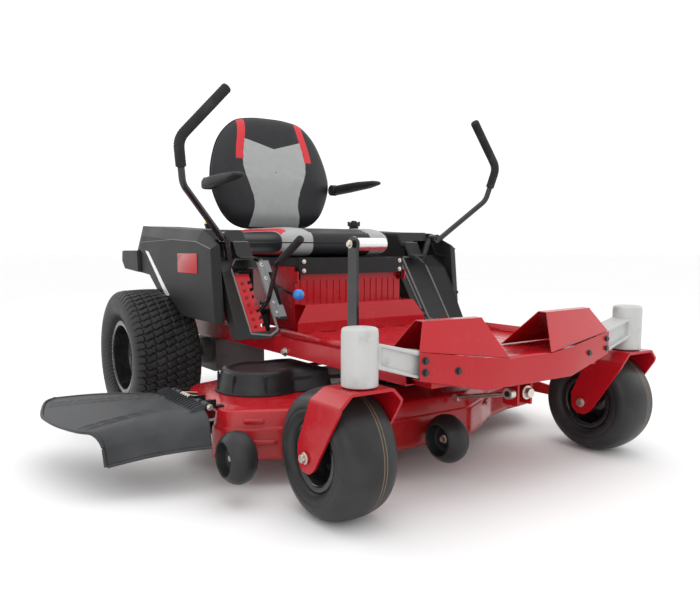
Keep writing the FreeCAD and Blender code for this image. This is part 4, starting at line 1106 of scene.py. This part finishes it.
def highlight_ridge(points, width, height, out):
    """A painted highlight along an edge: a low pale ridge along a run of points, raised along out."""
    p = np.array(points, float)
    run = np.gradient(p, axis=0)
    run /= np.linalg.norm(run, axis=1)[:, None]
    side = np.cross(run, out)
    rings = [p + side * w + np.array(out) * h for w, h in ((-width, -1), (-width * 0.5, height),
                                                           (width * 0.5, height), (width, -1))]
    return grid(np.stack(rings, axis=1), close_columns=True)


# Painted highlights along the belt line, the lower lip, the tail block and the hood steps.
edge_highlights = [highlight_ridge([(-POD_X2 - 0.2, y, z) for y, z in ((186, 688), (-160, 696), (-378, 687), (-498, 662))],
                   1.6, 0.6, (-1, 0, 0)),
         highlight_ridge([(-POD_X2 - 0.2, y, z) for y, z in ((-116, 486), (-300, 485), (-514, 484))], 2.0, 1.2,
                   (-1, 0, 0)),
         highlight_ridge([(-POD_X2 + 2, y, z) for y, z in ((232, 651), (420, 650))], 2.2, 1.2, (-1, 0, 0)),
         highlight_ridge([(x, -403, 687.5) for x in (-508, -503, -498)], 1.8, 0.8, (0, -0.6, 0.8)),
         highlight_ridge([(x, -403, 687.5) for x in (-418, -389, -360)], 1.8, 0.8, (0, -0.6, 0.8)),
         highlight_ridge([(x, -352, 728.5) for x in (-508, -430, -360)], 1.8, 0.8, (0, -0.6, 0.8))]
polished = Finish("bright_strip")
brushed = polished.noise(60, 4, 0.6, polished.place(stretch=(1, 1, 14)))
polished = polished.done(polished.blend(brushed, (0.78, 0.78, 0.78), (0.9, 0.9, 0.9)),
                         0.26 + 0.12 * brushed, None, 0.55)
strip_line = [(93, 650), (128, 655), (-88, 486), (-124, 489)]
strip = lofted([outline_at(strip_line, -(POD_X2 - 2)), outline_at(strip_line, -(POD_X2 + 1.5)),
                outline_at(strip_line, -(POD_X2 + 2.5), inset=1.5)])


def plate_outline(reach_y, reach_z, corner):
    """An upright rounded box, each corner a quarter circle."""
    a = np.radians(np.concatenate([np.linspace(0, 90, 8), np.linspace(90, 180, 8), np.linspace(180, 270, 8),
                                   np.linspace(270, 360, 8)]))
    cy = np.repeat([1, -1, -1, 1], 8) * (reach_y - corner)
    cz = np.repeat([1, 1, -1, -1], 8) * (reach_z - corner)
    y, z = cy + corner * np.cos(a), cz + corner * np.sin(a)
    return np.column_stack([y - 300.5, z + 612.5])


rings = [(-POD_X2 + 0.5, 88, 34, 4), (-POD_X2 - 1.6, 88, 34, 4), (-POD_X2 - 2.2, 87, 33, 4)]
blank = np.stack([np.column_stack([np.full(32, x), plate_outline(ry, rz, c)]) for x, ry, rz, c in rings])
points, faces = grid(blank, close_columns=True)
blank = (points, faces + [list(range(64, 96))])
plate_red = red_paint("blank_plate_red")
for side, sign in SIDES:
    mirror = (lambda part: part) if sign < 0 else mirrored
    piece("pod_edge_highlights_" + side, mirror(merged(edge_highlights)), lit_edge, "frame", angle=50)
    piece("bright_strip_" + side, mirror(strip), polished, "frame", edge=0.6)
    piece("blank_plate_" + side, mirror(blank), plate_red, "frame", angle=30)


# ---------------------------------------------------------------------------------------------
# Consoles: faceted charcoal mouldings in front of the pods, their faces slanted back, with pale grey painted
# highlights along their edges. The right one has windows for the height lever's red gate and the speed
# lever.


def face_y(z):
    """The slanted face's place at height z: 0.68 forward for each millimetre down."""
    return -450 - (568 - z) * 0.68


def on_face(x, z, out=0.0):
    """A point on the slanted face, or out millimetres off it along its normal."""
    return (x, face_y(z) - out * 0.83, z + out * 0.56)


grey_plastic = textured_plastic("console_grey", (0.15, 0.155, 0.16), 0.45)
FLANGE_X, INNER_X, TOP_Z, LOW_Z = -500.0, -286.0, 626.0, 380.0
bars = [plate([on_face(x0, z0), on_face(x1, z0), on_face(x1, z1), on_face(x0, z1)], (0, 5, 0))
        for x0, x1, z0, z1 in ((-338, -304, 425, TOP_Z), (-304, -290, 425, 470), (-304, -290, 580, TOP_Z),
                               (-440, -338, 598, TOP_Z), (-440, -338, LOW_Z - 12, 390), (-290, INNER_X,
                                                                                         425, TOP_Z))]
side_wall = plate([(FLANGE_X, -604, 372), (FLANGE_X, -489, 583), (FLANGE_X, -420, 640),
                   (FLANGE_X, -398, 626),
                   (FLANGE_X, -420, 560), (FLANGE_X, -552, 372)], (4, 0, 0))
front_facet = patch([(-500, -604, 372), (-440, -586, 372), (-440, face_y(592), 592), (-500, -489, 583)], 2,
                    8)
top_facet = patch([(-500, -489, 583), (-440, face_y(592), 592), (-412, -404, 632), (-500, -410, 636)], 2, 2)
inner_wall = plate([(INNER_X, face_y(425), 425), (INNER_X, face_y(TOP_Z), TOP_Z),
                    (INNER_X, face_y(TOP_Z) + 34, TOP_Z),
                    (INNER_X, face_y(425) + 34, 425)], (-4, 0, 0))
highlight_paths = [[on_face(-442, 386, 3), on_face(-442, 600, 3), on_face(-414, 626, 3), on_face(-340, 628, 3)],
              [on_face(-442, 386, 3), on_face(-372, 376, 3), on_face(-338, 392, 3), on_face(-334, 626, 3)],
              [on_face(-318, 428, 3), on_face(-314, 626, 3)]]


def highlight_strip(path, width, height):
    """A flat painted highlight along a path on the slanted face: a shallow trapezoid carried along it."""
    p = rounded_line(path, 8, 4)
    run = np.gradient(p, axis=0)
    run /= np.linalg.norm(run, axis=1)[:, None]
    out = np.array([0, -0.83, 0.56])
    side = np.cross(run, out)
    rings = np.stack([p + side * w + out * h for w, h in ((-width, -height), (-width * 0.6, 0),
                                                          (width * 0.6, 0), (width, -height))], axis=1)
    return grid(rings, close_columns=True)


# Painted highlights traced along the console's outer and window edges.
strip_highlights = [highlight_strip(path, w, 4) for path, w in zip(highlight_paths, (4.5, 4.5, 3.2))]
for side, sign in SIDES:
    mirror = (lambda part: part) if sign < 0 else mirrored
    closing = [] if sign < 0 else [plate([on_face(x0, z0), on_face(x1, z0), on_face(x1, z1),
                                          on_face(x0, z1)], (0, 5, 0))
                                   for x0, x1, z0, z1 in ((-440, -338, 390, 598), (-304, -290, 470, 580))]
    shell = merged([side_wall, inner_wall] + bars + closing)
    facets = merged([front_facet, top_facet])
    piece("console_" + side + "_shell", mirror(shell), pod_plastic, "frame",
          ["console_" + side],
          edge=1.2)
    piece("console_" + side + "_facets", mirror(facets), pod_plastic, "frame", wall=3,
          edge=0.8, angle=15)
    piece("console_" + side + "_edge_highlight", mirror(merged(strip_highlights)), lit_edge, "frame")
panel_corners = [on_face(-334, 432, 1), on_face(-288, 432, 1), on_face(-288, 470, 1), on_face(-304, 470, 1),
                 on_face(-304, 580, 1), on_face(-288, 580, 1), on_face(-288, 620, 1), on_face(-334, 620, 1)]
piece("console_grey_panel", plate(panel_corners, (0, -1.2, 0.8)), grey_plastic, "frame",
      edge=0.4)
signs = []
for k, z in enumerate((606, 560, 520, 480, 448)):
    a = np.linspace(0, 2 * np.pi, 20, endpoint=False)
    rim = np.stack([np.array([on_face(-320 + r * math.cos(t), z + r * math.sin(t) * 0.85, d) for t in a])
                    for r, d in ((7 - k * 0.6, 2.2), (7 - k * 0.6, 3.0), (5 - k * 0.6, 3.0),
                                 (5 - k * 0.6, 2.2))])
    signs.append(grid(rim, close_columns=True))
piece("console_marks", merged(signs), plain_white, "frame")

gate_red = red_paint("gate_red")
coated("height_gate", gate_red)
gate_studs = []
for k in range(7):
    z = 390 + 12 + k * 23 + 4
    gate_studs.append(hexagon_head((-412, face_y(z) + 9.5, z), "-y", 5.5, 3, 7))
piece("gate_rivets", merged(gate_studs), gate_red, "frame")


# ---------------------------------------------------------------------------------------------
# Seat: crowned cushion and back in dark vinyl with light grey panels and red stripes. Each is a
# closed form that swells between its seams, with piping along the seam, over a folded black pan.


def vinyl(name):
    """Soft vinyl under way: a pebbled grain and faint creases as its bump."""
    f = Finish(name)
    pebbles = f.node("TexVoronoi", {"feature": "SMOOTH_F1"}, {"Vector": f.place(), "Scale": 620.0})
    return f, f.dents(f.noise(26, 4, 0.6), 0.0016, 0.3, f.dents(pebbles, 0.0004, 0.35))


f, creases = vinyl("seat_back_vinyl")
here = f.node("SeparateXYZ", {}, {0: f.place()})
height = f.node("SeparateXYZ", {}, {0: f.place()}, 2)
aside = here - float(ORIGIN[0])
aside = aside.sum("ABSOLUTE", aside)
wide = f.band(height, 0.85, 1.02, 0.106, 0.152) + f.band(height, 0.76, 0.85, 0.016, 0.0)
insert = f.band(aside - wide, -0.0008, 0.0008, 1, 0)
below_notch = f.band(height - (1.085 + 0.28 * aside), -0.0008, 0.0008, 1, 0)
stripe_in = f.band(height, 1.03, 1.2, 0.148, 0.122)
stripe = f.band(aside - stripe_in, -0.0008, 0.0008, 0, 1) * f.band(aside - stripe_in, 0.034, 0.0355, 1, 0)
stripe = stripe * f.band(height, 1.035, 1.037)
depth_in = f.node("SeparateXYZ", {}, {0: f.place()}, 1)
seam = float(ORIGIN[1]) - 0.034 + 0.12 * height
facing = f.band(depth_in - seam, -0.0008, 0.0008, 1, 0)
insert, stripe = insert * facing, stripe * facing
worn = f.noise(30, 4)
dark = f.blend(worn, (0.012, 0.012, 0.014), (0.022, 0.022, 0.025))
colour = f.blend(insert * below_notch, dark, f.blend(worn, (0.30, 0.31, 0.31), (0.36, 0.37, 0.37)))
back_vinyl = f.done(f.blend(stripe, colour, (0.55, 0.03, 0.04)), 0.36 + 0.14 * worn, creases)

f, creases = vinyl("seat_cushion_vinyl")
here = f.node("SeparateXYZ", {}, {0: f.place()})
depth_in = f.node("SeparateXYZ", {}, {0: f.place()}, 1)
aside = here - float(ORIGIN[0])
aside = aside.sum("ABSOLUTE", aside)
from_front = depth_in - float(ORIGIN[1] - 0.470)
bolster = f.band(aside, 0.1292, 0.1308) * f.band(from_front, 0.4, 0.402, 1, 0)
red_corner = f.band(aside, 0.214, 0.216) * f.band(from_front, 0.05, 0.052)
worn = f.noise(30, 4)
dark = f.blend(worn, (0.012, 0.012, 0.014), (0.022, 0.022, 0.025))
colour = f.blend(bolster, dark, f.blend(worn, (0.30, 0.31, 0.31), (0.36, 0.37, 0.37)))
red_part = bolster * red_corner * f.band(aside, 0.236, 0.238, 1, 0)
outer_dark = f.band(aside, 0.238, 0.24)
colour = f.blend(red_part, colour, (0.55, 0.03, 0.04))
cushion_vinyl = f.done(f.blend(outer_dark, colour, dark), 0.36 + 0.14 * worn, creases)


def pillow(half_x, half_y, middle, low, high, crown, pull):
    """A cushion as rings round a rounded box: at ring angle t from the bottom to the top its height
    goes as sin t and its reach as cos t to a small power, so it is full at the seam and soft over
    the edge. The sides pull in by pull between the corners and the top rises by crown."""
    around = np.linspace(0, 2 * np.pi, 120, endpoint=False)
    tilt = np.linspace(-np.pi / 2, np.pi / 2, 41)
    reach = np.cos(tilt)[:, None] ** 0.22
    reach[0], reach[-1] = 0.001, 0.001
    c, s = np.cos(around), np.sin(around)
    box_x, box_y = np.sign(c) * np.abs(c) ** 0.35, np.sign(s) * np.abs(s) ** 0.35
    pinch = 1 - pull * (np.cos(2 * around) ** 2)
    x = half_x * reach * box_x * pinch
    y = half_y * reach * box_y * pinch
    z = ((low + high) / 2
         + (high - low) / 2 * np.sign(np.sin(tilt))[:, None] * np.abs(np.sin(tilt))[:, None] ** 0.8 + 0 * x)
    dome = crown * np.clip(1 - (x / half_x) ** 2, 0, 1) * np.clip(1 - (y / half_y) ** 2, 0, 1)
    z = z + np.where(z > (low + high) / 2, dome, 0)
    return x + middle[0], y + middle[1], z


x, y, z = pillow(260, 249, (0, -221), 633, 736, 5, 0.012)
upper = np.clip((z - 700) / 26, 0, 1)
bolsters = np.clip((np.abs(x) - 120) / 60, 0, 1) * np.clip((258 - np.abs(x)) / 30, 0, 1)
seams = np.exp(-((np.abs(x) - 130) / 3.5) ** 2)
z = z + upper * (5 * bolsters - 4 * seams - 6 * np.exp(-((y + 432) / 26) ** 2)
                 + 4 * np.clip(y / 60 + 0.6, 0, 1))
cushion = piece("cushion_pad", grid(np.stack([x, y, z], 2), close_columns=True), cushion_vinyl,
                "seat",
                ["seat_cushion"], angle=60)
back_outline = smoothed([(0, 748), (-150, 752), (-232, 800), (-280, 900), (-284, 990), (-242, 1115),
                         (-170, 1192),
                         (-90, 1214), (0, 1218), (90, 1214), (170, 1192), (242, 1115), (284, 990),
                         (280, 900),
                         (232, 800), (150, 752), (0, 748)], 161)[:-1]
back_middle = np.array([0, 985.0])
shares = np.concatenate([np.linspace(0.01, 0.9, 16), np.linspace(0.93, 1, 8), np.linspace(0.99, 0.9, 6),
                         np.linspace(0.8, 0.01, 6)])
layer = np.arange(len(shares))
flat = back_middle + shares[:, None, None] * (back_outline - back_middle)[None]
lean_front = np.interp(flat[..., 1], (740, 800, 960, 1217), (30, 16, 22, 64))
lean_rear = np.interp(flat[..., 1], (740, 900, 1100, 1217), (108, 116, 148, 148))
seam_y = (lean_front + lean_rear) / 2
side_wing = np.clip((np.abs(flat[..., 0]) - 130) / 80, 0, 1)
swell = np.sqrt(np.clip(1 - shares[:, None] ** 5, 0, 1))
seam_dent = 3.5 * np.exp(-((np.abs(flat[..., 0]) - np.interp(flat[..., 1], (760, 850, 1020, 1200),
                                                             (122, 106, 152, 122))) / 4) ** 2)
front_y = seam_y - swell * (seam_y - lean_front + 10 * side_wing * np.clip((1120 - flat[..., 1]) / 200, 0,
                                                                           1) - 8 - seam_dent)
rear_y = seam_y + swell * (lean_rear - seam_y - 3)
y = np.where(layer[:, None] < 24, front_y, rear_y)
back_points = np.stack([flat[..., 0], y, flat[..., 1]], 2)
seat_back_pad = piece("back_pad", grid(back_points, close_columns=True), back_vinyl, "seat",
                      ["seat_back"],
                      angle=60)


def piping(path, radius, sides=8):
    """A round cord along a closed run of points."""
    p = np.asarray(path, float)
    run = np.roll(p, -1, axis=0) - np.roll(p, 1, axis=0)
    run /= np.linalg.norm(run, axis=1)[:, None]
    first = np.cross(run, (0.01, 0.02, 1.0) if abs(run[0][2]) < 0.9 else (1.0, 0.01, 0.02))
    first /= np.linalg.norm(first, axis=1)[:, None]
    second = np.cross(run, first)
    turn = np.linspace(0, 2 * np.pi, sides, endpoint=False)
    rings = p[:, None] + radius * (np.cos(turn)[None, :, None] * first[:, None]
                                   + np.sin(turn)[None, :, None] * second[:, None])
    return grid(rings, close_rows=True, close_columns=True)


cord_vinyl = satin_black("piping_vinyl", 0.4, 500)
around = np.linspace(0, 2 * np.pi, 120, endpoint=False)
c, s = np.cos(around), np.sin(around)
pinch = 1 - 0.012 * np.cos(2 * around) ** 2
seam_ring = np.column_stack([259 * np.sign(c) * np.abs(c) ** 0.35 * pinch,
                             -221 + 248 * np.sign(s) * np.abs(s) ** 0.35 * pinch,
                             np.full(120, 684.5)])
back_ring = np.column_stack([back_outline[:, 0], (np.interp(back_outline[:, 1], (740, 800, 960, 1217),
                                                            (30, 16, 22, 64))
                             + np.interp(back_outline[:, 1], (740, 900, 1100, 1217),
                                         (108, 116, 148, 148))) / 2, back_outline[:, 1]])
piece("seat_piping", merged([piping(seam_ring, 2.6), piping(back_ring, 2.6)]), cord_vinyl,
      "seat", angle=80)

armrest_foam = textured_plastic("armrest_foam", (0.016, 0.016, 0.017), 0.55)
along = np.linspace(0, 1, 26)
arm_y = 60 - 332 * along
arm_half = 27 * np.interp(along, (0, 0.08, 0.3, 0.8, 0.95, 1), (0.5, 0.8, 1, 1, 0.85, 0.3))
arm_low = np.interp(along, (0, 0.3, 0.75, 1), (903, 908, 918, 930))
arm_high = np.interp(along, (0, 0.15, 0.6, 0.93, 1), (940, 947, 950, 946, 938))
turn = np.linspace(0, 2 * np.pi, 24, endpoint=False)
ring_x = np.sign(np.cos(turn)) * np.abs(np.cos(turn)) ** 0.6
ring_z = np.sign(np.sin(turn)) * np.abs(np.sin(turn)) ** 0.6
arm_rings = np.stack([np.column_stack([319 + h * ring_x, np.full(24, y0),
                                       (lo + hi) / 2 + (hi - lo) / 2 * ring_z])
                      for y0, h, lo, hi in zip(arm_y, arm_half, arm_low, arm_high)])
points, faces = grid(arm_rings, close_columns=True)
arm_pad = (points, faces + [list(range(24)), list(range(len(points) - 24, len(points)))])
arm_boss = turned([(-10, 0.1), (-10, 22), (-8, 24), (18, 24), (20, 22), (20, 0.1)], (304, 52, 925), 40)
for side, sign in SIDES:
    part = merged([arm_pad, arm_boss])
    piece("armrest_pad_" + side, part if sign > 0 else mirrored(part), armrest_foam,
          "armrest_" + side,
          ["armrest_" + side], angle=40)

for name, finish in (("seat_pan", satin), ("seat_box", red)):
    coated(name, finish)
pan_bolts = [hexagon_head((sx * 214, -537, sz), "-y", 5, 3, 8) for sx in (-1, 1) for sz in (586, 618)]
piece("pan_bolts", merged(pan_bolts), zinc, "seat_base")


# ---------------------------------------------------------------------------------------------
# Controls: bent tube levers in black enamel with ribbed foam grips, the height lever, the pedal and
# its bright knurled roller, and the blade speed lever with its ball knob.


def foam(name):
    """Charcoal foam: open cells as dimples, and rubbed paler in random patches."""
    f = Finish(name)
    cells = f.node("TexVoronoi", {"feature": "F1"}, {"Vector": f.place(), "Scale": 420.0})
    rub = f.band(f.noise(18, 5), 0.45, 0.8)
    return f.done(f.blend(rub, (0.018, 0.018, 0.019), (0.045, 0.044, 0.043)), 0.75 + 0.12 * rub,
                  f.dents(cells, 0.0009, 0.7))


lever_black = gloss_black("lever_enamel")
grip_foam = foam("grip_foam")


def swept(path, radius, sides=28, ribs=0.0, pitch=9.0):
    """A rounded bar along a path: rings across it, radius swelling by ribs in waves of pitch, and
    closing over each end as a quarter round."""
    p = np.asarray(path, float)
    run = np.gradient(p, axis=0)
    run /= np.linalg.norm(run, axis=1)[:, None]
    along = np.concatenate([[0], np.cumsum(np.linalg.norm(np.diff(p, axis=0), axis=1))])
    first = np.cross(run, (0.9, 0.1, 0.2))
    first /= np.linalg.norm(first, axis=1)[:, None]
    second = np.cross(run, first)
    ends = np.clip(np.minimum(along, along[-1] - along) / (radius * 0.4), 0, 1)
    reach = radius * np.sqrt(np.clip(1 - (1 - ends) ** 2, 0.0004,
                                     1)) + ribs * np.cos(2 * np.pi * along / pitch)
    turn = np.linspace(0, 2 * np.pi, sides, endpoint=False)
    rings = p[:, None] + reach[:, None, None] * (np.cos(turn)[None, :, None] * first[:, None]
                                                + np.sin(turn)[None, :, None] * second[:, None])
    return grid(rings, close_columns=True)


lever_line = rounded_line([(482, -457, 695), (657, -553, 860), (681, -585, 990), (536, -606, 1140)], 60, 20)
low_end, bend_point = np.array([657, -553, 860.0]), np.array([681, -585, 990.0])
grip_start = low_end + (bend_point - low_end) / np.linalg.norm(bend_point - low_end) * 50
grip_line = rounded_line([tuple(grip_start), (681, -585, 990), (527, -607, 1157)], 60, 24)


def evenly(path, step):
    """The same path with points every step millimetres."""
    p = np.asarray(path, float)
    along = np.concatenate([[0], np.cumsum(np.linalg.norm(np.diff(p, axis=0), axis=1))])
    even = np.linspace(0, along[-1], max(2, int(along[-1] / step)))
    return np.stack([np.interp(even, along, p[:, k]) for k in range(3)], axis=1)


lever_part = merged([swept(evenly(lever_line, 4), 11)])
grip_part = swept(evenly(grip_line, 1.5), 16.2, 28, 0.6, 7.0)
for side, sign in SIDES:
    mirror = (lambda part: part) if sign > 0 else mirrored
    piece("lever_bar_" + side, mirror(lever_part), lever_black, "lever_" + side, angle=60)
    piece("lever_foam_" + side, mirror(grip_part), grip_foam, "lever_" + side,
          ["lever_grip_" + side],
          angle=70)
    for node in ("lever_tube_", "lever_bracket_"):
        coated(node + side, lever_black)
for node in ("height_lever", "pedal_arm", "speed_lever"):
    coated(node, lever_black)
low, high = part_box("height_grip")
grip_low, grip_high = (np.array(low) - ORIGIN) * 1000, (np.array(high) - ORIGIN) * 1000
height_line = [(-352, grip_high[1] - 6, grip_low[2] + 11), (-352, grip_low[1] + 6, grip_high[2] - 11)]
piece("height_foam", swept(evenly(height_line, 1.5), 12.6, 28, 0.4, 6.0), grip_foam,
      "height_lever",
      ["height_grip"], angle=70)

knurled = Finish("bright_roller")
rings_of = knurled.noise(90, 3, 0.5, knurled.place(stretch=(0.4, 9, 9)))
knurled = knurled.done(knurled.blend(rings_of, (0.62, 0.62, 0.62), (0.85, 0.85, 0.85)),
                       0.2 + 0.16 * rings_of,
                       knurled.dents(rings_of, 0.0004, 0.4), 1.0)
low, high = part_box("pedal_roller")
low, high = (np.array(low) - ORIGIN) * 1000, (np.array(high) - ORIGIN) * 1000
middle = (low + high) / 2
half = (high[0] - low[0]) / 2
bands = [(-half, 6.5), (-half, 15), (-half + 2, 17.6)]
for k in range(22):
    at = -half + 3 + k * (2 * half - 6) / 21
    bands += [(at - 0.9, 17.9), (at, 17.2), (at + 0.9, 17.9)]
bands += [(half - 2, 17.6), (half, 15), (half, 6.5)]
piece("knurled_roller", turned(bands, (middle[0], middle[1], middle[2]), 64), knurled,
      "pedal_roller",
      ["pedal_roller"], angle=30)
pedal_nut = hexagon_head((-356, middle[1], middle[2]), "-x", 8, 6, 12)
piece("pedal_nut", pedal_nut, zinc, "pedal")

blue = Finish("blue_knob")
blue_noise = blue.noise(120)
blue = blue.done(blue.blend(blue_noise, (0.018, 0.17, 0.55), (0.03, 0.24, 0.66)), 0.18 + 0.1 * blue_noise,
                 blue.dents(blue.noise(500), 0.0002, 0.2), Coat_Weight=0.4)
ball = [(19 * math.cos(t), max(0.1, 19 * math.sin(t))) for t in np.linspace(0, np.pi, 26)]
piece("ball_knob", turned(ball, (-297, -638, 512), 40), blue, "speed_lever", ["speed_knob"],
      angle=60)


# ---------------------------------------------------------------------------------------------
# Engine, tank and guard: their CAD shapes with cast, moulded and painted finishes, a ribbed screen,
# a yellow dipstick cap and the ribbed fuel cap.

engine_metal = cast_metal("engine_castings", 0.22)
shroud_black = textured_plastic("shroud_plastic", (0.014, 0.014, 0.015), 0.4)
tank_black = textured_plastic("tank_plastic", (0.02, 0.02, 0.021), 0.45)
for node, finish in (("engine_block", engine_metal), ("engine_shroud", shroud_black),
                     ("fuel_tank", tank_black),
                     ("fuel_cap", tank_black)):
    coated(node, finish)
cap_ribs = []
for k in range(18):
    turn = k * np.pi / 9
    x0, y0 = 430 + 28.2 * math.cos(turn), 60 + 28.2 * math.sin(turn)
    cap_ribs.append(turned([(768, 0.1), (768, 1.6), (786, 1.6), (787, 0.1)], (x0, y0, 0), 10, axis=2))
piece("cap_ribs", merged(cap_ribs), tank_black, "fuel_cap", angle=50)
yellow = Finish("yellow_cap")
yellow_noise = yellow.noise(90)
yellow = yellow.done(yellow.blend(yellow_noise, (0.80, 0.66, 0.02), (0.88, 0.74, 0.05)),
                     0.35 + 0.1 * yellow_noise)
piece("dipstick_cap", turned([(782, 0.1), (782, 14), (770, 16), (763, 16), (762, 11), (762, 0.1)][::-1],
                             (-216, 262, 0), 32, axis=2),
      yellow, "frame", angle=40)
vents = []
for k in range(9):
    radius = 30 + 10 * k
    vents.append(turned([(648, radius - 1.5), (650.5, radius), (648, radius + 1.5)], (0, 290, 0), 60,
                        axis=2))
piece("screen_rings", merged(vents), shroud_black, "frame", angle=40)
